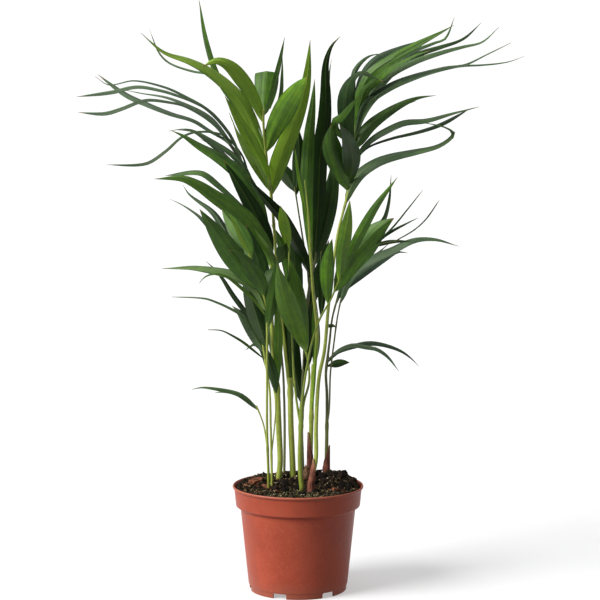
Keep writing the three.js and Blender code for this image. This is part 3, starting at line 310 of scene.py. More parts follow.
# Green stem at the front: low broad leaves in the middle and the bright fan to the right.
STEM_FRONT = Stem(
    "leafy_stem_front", slot="leaf_bright", tone=GREEN, waxy=0, stalk_tone=BRIGHT,
    stalks=[
        Stalk([(3.4, 96), (2.8, 100), (1.8, 120), (2.6, 150), (3.6, 172)], (-18, -18), (5, 4)),
        Stalk([(3.4, 165), (5, 185), (8, 205), (13, 230), (20, 250), (30, 268), (38, 286), (52, 302),
            (68, 316), (92, 322)], (-18, -60), (2.3, 0.9)),
        Stalk([(3, 160), (6, 176), (9.8, 190), (10, 205), (7, 221)], (-18, -22), (2.4, 1.8)),
        Stalk([(2.4, 150), (-1, 172), (-3, 190), (-4, 200), (-6, 250), (-8, 300), (-8, 316)],
            (-18, 0), (2.2, 1.5)),
    ],
    leaves=[
        Leaf([(7, 219), (3, 232), (-4, 248), (-10, 264), (-15, 282), (-19, 300)],
            -56, 19, (15, 15), (-10, -10), 0.5, tone=BRIGHT),
        Leaf([(8, 219), (5, 238), (2, 258), (-2, 282), (-8, 306)],
            -30, 16, (10, 10), (20, 20), 0.5, tone=FRESH),
        Leaf([(-8, 312), (-10, 326), (-12, 335), (-16, 353)], -22, 11, (20, 20), (10, 10), 0.55,
            tone=LIME),
        Leaf([(28, 262), (26, 285), (27, 305), (31, 323)], -58, 13, (15, 15), (-10, -10), 0.5),
        Leaf([(22, 252), (22, 272), (20, 292), (21, 312)], -20, 9, (10, 10), (20, 20), 0.5, tone=DEEP),
        Leaf([(37, 284), (41, 315), (45, 340), (47, 358)], -80, 12, (20, 20), (5, 5), 0.5,
            tone=BRIGHT),
        Leaf([(40, 288), (50, 315), (60, 335), (70, 352), (84, 371), (90, 379)], -116, 9, (20, 30)),
        Leaf([(34, 276), (37, 282), (48, 303), (62, 320), (74, 333), (87, 342)],
            -82, 23, (15, 30), (0, 0), 0.55),
        Leaf([(66, 314), (74, 335), (79, 342), (83, 360), (84, 381)], -44, 5, (30, 20), (50, 50),
            tone=DARK, waxy=0.4),
        Leaf([(67, 315), (85, 333), (100, 351), (113, 367)], -112, 4, (50, 50), tone=DEEP, waxy=0.3),
        Leaf([(70, 317), (80, 327), (100, 338), (109, 342)], -56, 4, (55, 60), tone=DEEP, waxy=0.3),
        Leaf([(88, 321), (105, 331), (115, 340), (128, 358)], -134, 4, (50, 50), tone=DEEP, waxy=0.3),
        Leaf([(66, 314), (76, 319), (85, 321), (103, 321)], -40, 6, (50, 60), tone=DARK, waxy=0.3),
    ],
)

# Stem right of the middle: one tall upright leaf.
STEM_RIGHT_MIDDLE = Stem(
    "leafy_stem_right_middle", slot="leaf_green", tone=GREEN, waxy=0, stalk_tone=LIME,
    stalks=[
        Stalk([(11, 103), (12, 150), (12.8, 180), (14.6, 208)], (28, 22), (4.5, 4)),
        Stalk([(13.8, 196), (16.4, 218), (17.4, 236), (16.4, 252), (14, 272), (12, 300), (10.4, 325)],
            (22, 0), (3.6, 2.2)),
        Stalk([(10.6, 320), (9.6, 340), (8, 358), (6, 376)], (0, -12), (2.2, 0.9)),
    ],
    leaves=[
        Leaf([(11.6, 306), (9, 345), (8, 380), (10, 415), (13, 442), (15, 467)],
            10, 12, (10, 10), (-10, 10), 0.5),
        Leaf([(10, 330), (3, 370), (0, 385), (-3, 406)], 16, 5, (10, 10), (30, 30), 0.5, tone=BRIGHT),
        Leaf([(13, 160), (14, 185), (15.4, 208), (17.6, 236)], 2, 3.4, (10, 10), (0, 0), 0.5,
            tone=LIME),
        Leaf([(15, 206), (17, 226), (16, 250), (15.5, 272)], 34, 9, (10, 10), (30, 30), 0.5),
    ],
)

# Yellow-green stem at the right front: the big frond that arches to the upper right.
STEM_RIGHT_FRONT = Stem(
    "leafy_stem_right_front", slot="leaf_green", tone=GREEN, waxy=0.2, stalk_tone=LIME,
    stalks=[
        Stalk([(12, 97), (16.4, 120), (16.6, 150), (17.8, 180), (19.8, 200), (24, 220), (28, 265),
            (32, 300), (37, 332), (44, 360), (48, 384), (50, 405), (52, 440)],
            (-24, 14), (4.2, 1.8)),
    ],
    leaves=[
        Leaf([(50, 400), (45, 420), (43, 440), (44, 456), (49, 468), (57, 473), (67, 469), (76, 465)],
            -34, 16, (10, 75), (-10, 0), 0.45, tone=DARK),
        Leaf([(51, 432), (46, 450), (50, 468), (60, 474), (75, 467)], 26, 6, (20, 75), (30, 0)),
        Leaf([(52, 438), (50, 458), (51, 474), (63, 487), (79, 489.5)], 54, 5, (20, 70), (50, 0),
            waxy=0.6),
        Leaf([(52, 437), (54, 458), (60, 473), (67, 482), (75, 488), (95, 496), (107, 500),
            (128, 509)], 74, 7, (30, 65), (40, 0), tone=DARK, waxy=0.8),
        Leaf([(50, 424), (55, 450), (65, 471), (85, 486), (105, 497), (127, 508), (140, 515)],
            -16, 11, (20, 40), waxy=0),
        Leaf([(51, 430), (60, 456), (68, 464), (80, 475), (105, 488), (118, 492)],
            -44, 10, (30, 50), waxy=0),
        Leaf([(52, 438), (66, 458), (82, 476), (100, 490), (122, 499), (132, 503), (140, 522)],
            36, 6, (50, 50), waxy=0.5),
        Leaf([(51, 430), (66, 452), (84, 474), (104, 488), (128, 496), (148, 503), (164, 517)],
            94, 10, (50, 65), tone=DARK),
        Leaf([(51, 426), (62, 447), (78, 468), (100, 481), (125, 490), (148, 496), (165, 500),
            (180, 513)], 8, 10, (50, 65), waxy=0.5),
        Leaf([(50, 418), (60, 446), (80, 461), (100, 469), (130, 477), (150, 480), (170, 489),
            (191, 499)], -62, 7, (45, 65), tone=DARK, waxy=0.6),
        Leaf([(50, 414), (60, 440), (80, 457), (110, 470), (140, 478), (165, 479.5), (188, 482),
            (203, 487)], 52, 6, (50, 65), waxy=0.6),
        Leaf([(50, 410), (58, 432), (70, 449), (90, 462)], 88, 4, (50, 60), waxy=0.5),
        Leaf([(50, 404), (60, 420), (70, 430), (90, 443), (107, 450), (124, 452)],
            20, 12, (25, 55), (0, 0), 0.2),
        Leaf([(50, 400), (64, 419), (76, 433), (88, 441), (106, 447)], 72, 5, (55, 60),
            tone=DARK, waxy=0.4),
        Leaf([(49, 394), (56, 403), (65, 412), (75, 419), (95, 428), (115, 430), (140, 436.5),
            (163, 442)], -28, 10, (45, 65), tone=DARK, waxy=0.4),
        Leaf([(49, 390), (62, 405), (85, 414), (110, 420), (130, 427), (154, 440)],
            46, 5, (60, 45), (0, 0), 0.75, tone=DARK, waxy=0.7),
        Leaf([(42, 352), (47, 367), (56, 382), (70, 392), (85, 397.5), (105, 402), (128, 408),
            (140, 418), (132, 424), (110, 428)], -2, 11, (30, 72), (0, 0), 0.25, waxy=0.6),
        Leaf([(45, 364), (37, 386), (30, 408), (30, 426)], -30, 18, (10, 30), (-15, 0), 0.6, waxy=0.1),
        Leaf([(47, 374), (49, 396), (45, 412), (37, 427)], -52, 19, (10, 30), (10, 10), 0.5,
            tone=DARK, waxy=0),
        Leaf([(51, 412), (36, 420), (33, 428), (40, 434), (54, 451)],
            -38, 9, (30, 30), (0, 0), 0.5, waxy=0),
    ],
)

# Stem at the back right: the low leaves that reach out to the right.
STEM_RIGHT = Stem(
    "leafy_stem_right", slot="leaf_green", tone=DARK, waxy=0.8, stalk_tone=DARK,
    stalks=[
        Stalk([(25.8, 104), (26.4, 150), (26.4, 180), (25.4, 200), (27, 215), (28.8, 230), (31, 250),
            (36, 270)], (30, 40), (4.2, 1.6)),
        Stalk([(26.6, 150), (28.5, 168), (29.5, 200), (31.7, 220), (35.6, 250), (39, 268)],
            (30, 26), (1.8, 1.4)),
    ],
    leaves=[
        Leaf([(38, 264), (45, 283), (55, 297), (65, 304), (85, 313), (105, 322), (125, 322.5),
            (146, 316)], 14, 11, (45, 60), tone=GREEN, waxy=0.7),
        Leaf([(35, 266), (42, 278), (60, 293), (80, 306), (90, 311), (100, 310)], 70, 9, (40, 50)),
        Leaf([(34, 262), (42, 284), (57, 300), (73, 311), (84, 320)], 44, 5, (50, 60), waxy=0.4),
        Leaf([(26, 208), (35, 219), (50, 225), (65, 228), (80, 226), (95, 220), (105, 212),
            (110, 206)], 62, 7, (55, 55)),
        Leaf([(27, 212), (38, 222), (50, 226), (62, 224), (72, 222), (82, 215), (92, 202)],
            22, 6, (55, 50), tone=GREEN),
        Leaf([(25.8, 206), (33, 208.5), (40, 210), (47, 210)], 34, 7.5, (20, 20), (0, 0), 0.5,
            waxy=0.1),
        Leaf([(34.4, 243), (30, 244), (24.5, 244)], 46, 5, (30, 30), (0, 0), 0.6, tone=DEEP, waxy=0),
    ],
)

# Stem at the back: the leaves behind the middle of the plant, darkened with painted shade.
STEM_BACK = Stem(
    "leafy_stem_back", slot="leaf_dark", tone=DEEP, waxy=0, stalk_tone=DARK,
    stalks=[
        Stalk([(4, 108), (3, 150), (5, 200), (8, 250), (11, 285), (15, 302), (16, 318)],
            (43, 56), (4.4, 2)),
        Stalk([(11, 280), (8, 300), (4, 325), (0, 350), (-3, 370)], (54, 68), (2, 1.4)),
    ],
    leaves=[
        Leaf([(15, 300), (18, 350), (20, 400), (24, 430), (25, 452), (25, 480), (30, 496), (38, 505)],
            48, 15, (10, 20), (0, 20), 0.46),
        Leaf([(16, 312), (22, 370), (26, 430), (28, 470), (30, 485)],
            74, 6, (10, 20), (30, 20), 0.5, tone=DARK, waxy=0.1),
        Leaf([(-3, 366), (-7, 376), (-13, 385), (-20, 396)], 88, 14, (10, 40), (0, 0), 0.5),
        Leaf([(-2, 362), (0, 380), (1, 400), (0, 424)], 78, 13, (10, 20), (0, 0), 0.5),
        Leaf([(8, 248), (14, 275), (22, 300), (28, 322)], 72, 12, (10, 20), (10, 10), 0.5, tone=DARK),
        Leaf([(5, 196), (10, 218), (12, 242), (10, 266)], 40, 9, (10, 10), (10, 10), 0.5),
        Leaf([(6, 218), (2, 245), (0, 270), (4, 296)], 66, 11, (10, 20), (-10, -10), 0.5, tone=DARK),
        Leaf([(11.4, 288), (6, 302), (-5, 324), (-15, 342), (-27, 356), (-38, 369), (-46, 380)],
            -60, 16, (5, 10), (-30, -30), 0.4),
        Leaf([(12, 288), (14, 320), (14, 350), (14, 380), (13, 412)],
            70, 13, (10, 15), (-10, -10), 0.5),
        Leaf([(15, 298), (22, 325), (28, 352), (32, 378), (34, 404)],
            76, 16, (10, 20), (10, 10), 0.5, tone=DARK),
        Leaf([(7.4, 240), (-2, 276), (-9, 302), (-15, 318), (-24, 336)],
            64, 14, (15, 20), (-10, -10), 0.5, tone=GREEN),
        Leaf([(4, 170), (-3, 205), (-6, 235), (-7, 267)], 60, 14, (10, 20), (-10, -10), 0.5),
    ],
)

# A scaly brown bud beside the front stem, with no leaf yet.
BUD = Stem(
    "bud", slot="husk", tone=DARK, waxy=0, stalk_tone=DARK,
    stalks=[Stalk([(7.8, 104), (7.5, 110), (7, 116)], (18, 18), (5.6, 1.2))],
    leaves=[],
)

STEMS = [  # in the order in which their leaves take their places
    STEM_MIDDLE, STEM_LEFT_FRONT, STEM_FRONT, STEM_RIGHT_FRONT, STEM_RIGHT_MIDDLE, STEM_LEFT_MIDDLE,
    STEM_LEFT, STEM_RIGHT, STEM_LEFT_BACK, STEM_BACK, BUD,
]

# ---------------------------------------------------------------- lines in space

HEADING_STEP = 0.01  # how far to both sides of a point a route's heading is taken
ROUTE_SAMPLES = 60
FRONT = np.array([[0.0, -1.0, 0.0]])


def from_front(x, z, y):
    """The point at depth y that is seen at x, z on the plane y = 0."""
    scale = 1 + y / EYE_DISTANCE
    return np.array([x * scale, y, EYE_HEIGHT + (z - EYE_HEIGHT) * scale])


def mix(ends, t):
    return (1 - t) * ends[0] + t * ends[1]


def shares(steps):
    """Even steps from 0 to 1."""
    return np.arange(steps + 1) / steps


def around(steps):
    """Even angles round a circle."""
    return np.arange(steps) / steps * 2 * math.pi


def unit(vectors):
    return vectors / np.sqrt((vectors**2).sum(axis=-1, keepdims=True))


class Route:
    """A smooth curve through given points: a cubic between each two, timed by the chords."""

    def __init__(self, points):
        self.points = np.array(points)
        chords = np.sqrt((np.diff(self.points, axis=0) ** 2).sum(axis=1))
        self.times = np.concatenate([[0.0], np.cumsum(chords)])
        self.length = self.times[-1]
        places = np.arange(len(points))
        before, after = np.maximum(places - 1, 0), np.minimum(places + 1, places[-1])
        spans = (self.times[after] - self.times[before])[:, None]
        self.slopes = (self.points[after] - self.points[before]) / spans

    def point(self, t):
        time = np.clip(t, 0, 1) * self.length
        i = np.clip(np.searchsorted(self.times, time) - 1, 0, len(self.points) - 2)
        span = self.times[i + 1] - self.times[i]
        u = ((time - self.times[i]) / span)[:, None]
        span = span[:, None]
        return (
            self.points[i] * ((1 + 2 * u) * (1 - u) ** 2)
            + self.slopes[i] * (u * (1 - u) ** 2 * span)
            + self.points[i + 1] * (u * u * (3 - 2 * u))
            + self.slopes[i + 1] * (u * u * (u - 1) * span)
        )

    def heading(self, t):
        return unit(self.point(t + HEADING_STEP) - self.point(t - HEADING_STEP))

    def section(self, t, look):
        """The two directions square to the route: across it, and the way its face looks."""
        ahead = self.heading(t)
        across = unit(np.cross(look, ahead))
        return across, np.cross(ahead, across)


def deepen(line, depths):
    """The points of a line seen from the front, its depth going evenly from end to end."""
    flat = np.array(line, float)
    run = np.concatenate([[0.0], np.cumsum(np.hypot(*np.diff(flat, axis=0).T))])
    return [from_front(x, z, mix(depths, share)) for (x, z), share in zip(flat, run / run[-1])]


def nearest_on(routes, x, z):
    """The point of the routes that looks nearest to a seen point."""
    best, best_gap = None, math.inf
    for route in routes:
        points = route.point(shares(ROUTE_SAMPLES))
        scale = 1 + points[:, 1] / EYE_DISTANCE
        seen_z = (points[:, 2] - EYE_HEIGHT) / scale + EYE_HEIGHT
        gaps = np.hypot(points[:, 0] / scale - x, seen_z - z)
        if gaps.min() < best_gap:
            best, best_gap = points[gaps.argmin()], gaps.min()
    return best


def stalk_routes(stem):
    routes = []
    for stalk in stem.stalks:
        points = deepen(stalk.line, stalk.depths)
        if routes:
            points[0] = nearest_on(routes, *stalk.line[0])
        else:
            points.insert(0, np.array([points[0][0], points[0][1], ROOT_Z]))
        routes.append(Route(points))
    return routes


def width_share(t, peak):
    """Width of a blade along its length, as a share of its full width."""
    rise = np.minimum(1, t / peak)
    fall = np.maximum(0, (t - peak) / (1 - peak))
    return (ROOT_SHARE + (1 - ROOT_SHARE) * np.sin(rise * math.pi / 2)) * (1 - fall**TIP_POWER)


def look_of(leaf, t):
    """The way a blade's upper face looks along its length."""
    tilt, turn = np.radians(mix(leaf.tilt, t)), np.radians(mix(leaf.turn, t))
    flat = np.cos(tilt)
    return np.stack([np.sin(turn) * flat, -np.cos(turn) * flat, np.sin(tilt)], axis=1)


# ---------------------------------------------------------------- growing clear

CELL = 3  # width of one cell of air
SAMPLE = 2.5  # distance between the samples of a blade
ROOT_PART = 0.35  # blades of one stem may touch along this part of their length
DEPTH_STEP = 5  # a tip that isn't clear is moved by this much at a time
DEPTH_TRIES = 16
AIR_CORNER = np.array([-90, -60, 10])  # the lowest cell of air
AIR_CELLS = (180, 120, 190)


class Air:
    """The cells of air near each stem, with one bit for each stem."""

    def __init__(self):
        self.near = np.zeros(AIR_CELLS, int)
        self.near_blades = np.zeros(AIR_CELLS, int)

    def hold(self, points, stem, blade):
        cells = np.floor(points / CELL).astype(int) - AIR_CORNER
        for step in itertools.product((-1, 0, 1), repeat=3):
            place = tuple((cells + step).T)
            self.near[place] |= stem
            if blade:
                self.near_blades[place] |= stem

    def held(self, points, stem, away):
        """Which points another stem holds or, away from the roots, a blade of the same one."""
        place = tuple((np.floor(points / CELL).astype(int) - AIR_CORNER).T)
        own = self.near_blades[place] & stem
        return (self.near[place] & ~stem != 0) | (away & (own != 0))


def blade_samples(route, leaf):
    t = shares(math.ceil(route.length / SAMPLE))
    half = leaf.width * width_share(t, leaf.peak) / 2
    strips = np.ceil(half / SAMPLE).astype(int)
    row = np.repeat(np.arange(len(t)), 2 * strips + 1)
    places = np.concatenate([np.arange(-n, n + 1) for n in strips])
    share = places / np.maximum(strips, 1)[row]
    across, face = route.section(t, look_of(leaf, t))
    points = route.point(t)[row] + across[row] * (share * half[row])[:, None]
    return points + face[row] * (-KEEL * half[row] * np.abs(share))[:, None], t[row]


def clear_route(air, stem, leaf, root):
    """The leaf's route, with its tip at the nearest depth where the blade touches nothing."""
    best_hits = math.inf
    for n in range(2 * DEPTH_TRIES + 1):
        shift = DEPTH_STEP * math.ceil(n / 2) * (1 if n % 2 else -1)
        points = deepen(leaf.line, (root[1], leaf.tip_depth + shift))
        points[0] = root
        route = Route(points)
        samples, t = blade_samples(route, leaf)
        hits = air.held(samples, stem, t > ROOT_PART).sum()
        if hits < best_hits:
            best, best_hits = (route, samples, t), hits
        if hits == 0:
            break
    route, samples, t = best
    air.hold(samples[t > ROOT_PART], stem, True)
    air.hold(samples[t <= ROOT_PART], stem, False)
    return route


def grow_plant():
    """Each stem with the routes of its stalks and of its leaves."""
    air = Air()
    grown = [(stem, stalk_routes(stem)) for stem in STEMS]
    for n, (_, routes) in enumerate(grown):
        for route in routes:
            air.hold(route.point(shares(math.ceil(route.length / SAMPLE))), 1 << n, False)
    plant = {}
    for n, (stem, routes) in enumerate(grown):
        roots = [nearest_on(routes, *leaf.line[0]) for leaf in stem.leaves]
        leaf_routes = [clear_route(air, 1 << n, leaf, root) for leaf, root in zip(stem.leaves, roots)]
        plant[stem.name] = (stem, routes, leaf_routes)
    return plant


# ---------------------------------------------------------------- node trees

GEOMETRY, MATERIAL = bpy.types.NodeSocketGeometry, bpy.types.NodeSocketMaterial
FLOAT, COLOUR = bpy.types.NodeSocketFloat, bpy.types.NodeSocketColor
KINDS = {float: "NodeSocketFloat", int: "NodeSocketInt", str: "NodeSocketString"}


def srgb(*levels):
    """A colour whose red, green and blue are read from 0 to 255, as a linear one with alpha."""
    return (*(c / 3294.6 if c <= 10 else ((c / 255 + 0.055) / 1.055) ** 2.4 for c in levels), 1)


class Tree:
    """Adds nodes to a tree. An input is given by name or place, as a value or another socket."""

    def __init__(self, tree):
        self.tree = tree

    def fill(self, sockets, values):
        for key, value in dict(values).items():
            if isinstance(value, bpy.types.NodeSocket):
                self.tree.links.new(value, sockets[key])
            else:
                sockets[key].default_value = value

    def add(self, kind, inputs=(), **settings):
        """The outputs of a new node."""
        made = self.tree.nodes.new(kind)
        for name, value in settings.items():
            setattr(made, name, value)
        self.fill(made.inputs, inputs)
        return made.outputs

    def math(self, operation, *values, clamp=False):
        return self.add("ShaderNodeMath", enumerate(values), operation=operation, use_clamp=clamp)[0]

    def plus(self, *values, clamp=False):
        return self.math("ADD", *values, clamp=clamp)

    def minus(self, *values):
        return self.math("SUBTRACT", *values)

    def times(self, first, *others):
        for other in others:
            first = self.math("MULTIPLY", first, other)
        return first

    def swayed(self, value, by, amount, clamp=False):
        """value moved up and down by another one, which runs from 0 to 1."""
        return self.plus(value, self.times(self.minus(by, 0.5), amount), clamp=clamp)

    def span(self, value, low, high, to_low=0.0, to_high=1.0):
        """value eased from low..high to to_low..to_high."""
        inputs = enumerate((value, low, high, to_low, to_high))
        return self.add("ShaderNodeMapRange", inputs, interpolation_type="SMOOTHSTEP")[0]

    def vector(self, x=0.0, y=0.0, z=0.0):
        return self.add("ShaderNodeCombineXYZ", enumerate((x, y, z)))[0]

    def vectors(self, operation, *values):
        return self.add("ShaderNodeVectorMath", enumerate(values), operation=operation)[0]

    def scaled(self, vector, size):
        return self.add("ShaderNodeVectorMath", {0: vector, "Scale": size}, operation="SCALE")[0]

    def noise(self, vector, scale=1.0, detail=3.0):
        inputs = {"Vector": vector, "Scale": scale, "Detail": detail, "Roughness": 0.55}
        return self.add("ShaderNodeTexNoise", inputs)[0]

    # colours and masks of a material

    def place(self):
        return self.add("ShaderNodeTexCoord")["Object"]

    def height(self):
        return self.add("ShaderNodeSeparateXYZ", {0: self.place()})["Z"]

    def value_of(self, name):
        return self.add("ShaderNodeAttribute", attribute_name=name)["Fac"]

    def patches(self, size, contrast):
        inputs = {"Size": size * MM, "Contrast": contrast}
        return self.add("ShaderNodeGroup", inputs, node_tree=MOTTLE)[0]

    def fibres(self, fineness, detail):
        """Noise that is drawn out along the axes of a low fineness."""
        return self.noise(self.vectors("MULTIPLY", self.place(), fineness), detail=detail)

    def colours(self, share, first, second):
        return self.add("ShaderNodeMix", {0: share, 6: first, 7: second}, data_type="RGBA")[2]

    def layered(self, colour, *layers):
        """colour under tints, each followed by how strong it is: a share, or what span is given."""
        for tint, *mask in layers:
            share = self.span(*mask) if len(mask) > 1 else mask[0]
            colour = self.colours(share, colour, srgb(*tint))
        return colour

    def ramp(self, value, stops):
        made = self.tree.nodes.new("ShaderNodeValToRGB")
        self.tree.links.new(value, made.inputs[0])
        elements = made.color_ramp.elements
        while len(elements) < len(stops):
            elements.new(0.5)
        for element, (place, colour) in zip(elements, stops):
            element.position = place
            element.color = srgb(*colour)
        return made.outputs[0]

    def bump(self, height, depth):
        inputs = {"Height": height, "Strength": 1.0, "Distance": depth * MM}
        return self.add("ShaderNodeBump", inputs)[0]

    # shapes

    def shape(self, kind, inputs=(), **settings):
        """The first output of a new geometry node."""
        return self.add("GeometryNode" + kind, inputs, **settings)[0]

    def named(self, name, form="FLOAT"):
        return self.shape("InputNamedAttribute", {"Name": name}, data_type=form)

    def stored(self, shape, name, value, domain):
        inputs = {"Geometry": shape, "Name": name, "Value": value}
        return self.shape("StoreNamedAttribute", inputs, data_type="FLOAT", domain=domain)

    def moved(self, shape, way, amount):
        return self.shape("SetPosition", {"Geometry": shape, "Offset": self.scaled(way, amount)})

    def shaken(self, shape, fineness, amount):
        """A shape with its points moved unevenly, by up to half the amount along each axis."""
        inputs = {"Vector": self.shape("InputPosition"), "Scale": fineness, "Detail": 1.0}
        uneven = self.add("ShaderNodeTexNoise", inputs)["Color"]
        return self.moved(shape, self.vectors("SUBTRACT", uneven, (0.5, 0.5, 0.5)), amount)

    def random(self, form, seed, low, high):
        """A random value, or a vector where low and high are vectors."""
        first = 0 if form == "FLOAT_VECTOR" else 2
        inputs = {first: low, first + 1: high, "Seed": seed}
        return self.add("FunctionNodeRandomValue", inputs, data_type=form)[first // 2]

    def finished(self, shape, material):
        """Plain faces that carry their material."""
        real = self.shape("RealizeInstances", {"Geometry": shape})
        return self.shape("SetMaterial", {"Geometry": real, "Material": material})


def new_tree(name, kind, inputs, outputs):
    """A node group. Each named socket has a value to start from or, where it has none, its type."""
    group = bpy.data.node_groups.new(name, kind + "NodeTree")
    for way, sockets in (("INPUT", inputs), ("OUTPUT", outputs)):
        for title, value in sockets.items():
            plain = isinstance(value, type)
            form = value.__name__ if plain else KINDS[type(value)]
            socket = group.interface.new_socket(title, in_out=way, socket_type=form)
            if not plain:
                socket.default_value = value
    tree = Tree(group)
    return tree, tree.add("NodeGroupInput"), group.nodes.new("NodeGroupOutput").inputs


# ---------------------------------------------------------------- pieces and meshes

def placed(name, data):
    """A new object at the origin."""
    made = bpy.data.objects.new(name, data)
    bpy.context.scene.collection.objects.link(made)
    return made


def baked(name, mesh, group=None, values=(), finish=None):
    """A piece at the origin: mesh after a geometry tree and the modifier that finish adds."""
    maker = placed(name, mesh)
    if group:
        modifier = maker.modifiers.new("shape", "NODES")
        modifier.node_group = group
        for item in group.interface.items_tree:
            if item.item_type == "SOCKET" and item.in_out == "INPUT" and item.name in values:
                modifier[item.identifier] = values[item.name]
    if finish:
        finish(maker)
    bpy.context.view_layer.update()
    graph = bpy.context.evaluated_depsgraph_get()
    made = maker.evaluated_get(graph)
    plain = bpy.data.meshes.new_from_object(made, preserve_all_data_layers=True, depsgraph=graph)
    bpy.data.objects.remove(maker)
    plain.name = name
    return placed(name, plain)


def walled(thickness):
    """Gives an open skin a wall that grows inwards."""

    def finish(maker):
        wall = maker.modifiers.new("wall", "SOLIDIFY")
        wall.thickness = thickness * MM
        wall.offset = -1

    return finish


def settle(piece, slot, *nodes, material=None, sharp=None):
    """Puts a finished piece on the part, in place of the solids that it stands for."""
    if material:
        piece.data.materials.clear()
        piece.data.materials.append(material)
    if sharp:
        piece.data.set_sharp_from_angle(angle=math.radians(sharp))
    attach(piece, "root")
    if nodes:
        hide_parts(*nodes)


def mesh_of(name, points, faces, values=(), edges=()):
    """A mesh of points in millimetres, with one value of each kind in values for each point."""
    mesh = bpy.data.meshes.new(name)
    mesh.from_pydata((np.array(points) * MM).tolist(), edges, faces)
    for title, numbers in dict(values).items():
        numbers = np.array(numbers, np.float32)
        form, field = ("FLOAT_VECTOR", "vector") if numbers.ndim == 2 else ("FLOAT", "value")
        mesh.attributes.new(title, form, "POINT").data.foreach_set(field, numbers.ravel())
    mesh.shade_smooth()
    return mesh


def mesh_from(name, shape):
    """A mesh of what was built in a bmesh."""
    mesh = bpy.data.meshes.new(name)
    shape.to_mesh(mesh)
    shape.free()
    return mesh


def grid_faces(rows, columns, closed=False):
    """The faces between rows of points, which run round where they are closed."""
    wide = columns if closed else columns + 1
    faces = []
    for r, c in itertools.product(range(rows), range(columns)):
        first, second = r * wide + c, r * wide + (c + 1) % wide
        faces.append((first, second, second + wide, first + wide))
    return faces


def closed_body(points, segments, low, high):
    """The points and faces of a body of rings, closed by one point at its foot and at its crown."""
    rings = len(points) // segments
    floor, last = len(points), (rings - 1) * segments
    faces = grid_faces(rings - 1, segments, closed=True)
    for c in range(segments):
        after = (c + 1) % segments
        faces += [(floor, after, c), (floor + 1, last + c, last + after)]
    return [*points, low, high], faces


def joined(shapes):
    """Several (points, faces, values) as one."""
    points, faces, start = [], [], 0
    for shape_points, shape_faces, _ in shapes:
        points.append(shape_points)
        faces += [tuple(start + i for i in corners) for corners in shape_faces]
        start += len(shape_points)
    values = {name: np.concatenate([shape[2][name] for shape in shapes]) for name in shapes[0][2]}
    return np.concatenate(points), faces, values


# ---------------------------------------------------------------- materials

LEAF_VALUES = ("Tone", "Waxy", "Side", "Half", "Along", "Run", "Leaf")
LEAF_GREENS = [
    (0.0, (14, 34, 6)), (0.25, (28, 55, 12)), (0.5, (56, 92, 16)), (0.75, (88, 130, 24)),
    (1.0, (142, 180, 52)),
]
# Greys of a painted reflection, mixed into a blade's green.
PAINTED_SHEEN_GREYS = [(0.0, (34, 50, 38)), (0.5, (78, 96, 80)), (1.0, (122, 140, 104))]
STALK_GREENS = [
    (0.0, (58, 56, 44)), (0.3, (92, 98, 46)), (0.6, (108, 130, 34)), (0.8, (130, 150, 44)),
    (1.0, (168, 182, 74)),
]
BROAD_VEIN = 0.3  # fineness of the broad veins against the fine ones
FINE_PATCH = 5.3  # fineness of the fine patches against the broad ones
POT_RINGS = 1.1  # distance between the rings that the mould left on the pot


def veins_group():
    """Uneven lines that run the length of a blade, and its middle rib."""
    inputs = {"Side": 0.0, "Half": 5 * MM, "Run": 0.0, "Leaf": 0.0}
    inputs |= {"Spacing": 0.8 * MM, "Length": 60 * MM, "Shift": 3.7}
    tree, start, end = new_tree("fine_veins", "Shader", inputs, {"Lines": FLOAT, "Rib": FLOAT})
    reach = tree.times(start["Side"], start["Half"])
    across = tree.math("DIVIDE", reach, start["Spacing"])
    along = tree.math("DIVIDE", start["Run"], start["Length"])
    leaf = tree.times(start["Leaf"], start["Shift"])
    fine = tree.noise(tree.vector(across, along, leaf), detail=2.0)
    broad = tree.noise(tree.vector(tree.times(across, BROAD_VEIN), along, leaf), detail=1.0)
    lines = tree.plus(tree.times(fine, 0.45), tree.times(broad, 0.55))
    rib = tree.span(tree.math("ABSOLUTE", reach), 0.15 * MM, 0.6 * MM, 1.0, 0.0)
    tree.fill(end, {"Lines": tree.span(lines, 0.3, 0.7), "Rib": rib})
    return tree.tree


def mottle_group():
    """Uneven patches of two sizes, from 0 to 1."""
    inputs = {"Size": 10 * MM, "Contrast": 1.0}
    tree, start, end = new_tree("mottle", "Shader", inputs, {"Patches": FLOAT})
    place, scale = tree.place(), tree.math("DIVIDE", 1.0, start["Size"])
    broad = tree.noise(place, scale, 2.0)
    fine = tree.noise(place, tree.times(scale, FINE_PATCH), 2.0)
    both = tree.plus(tree.times(broad, 0.7), tree.times(fine, 0.3))
    tree.fill(end, {"Patches": tree.swayed(0.5, both, start["Contrast"], clamp=True)})
    return tree.tree


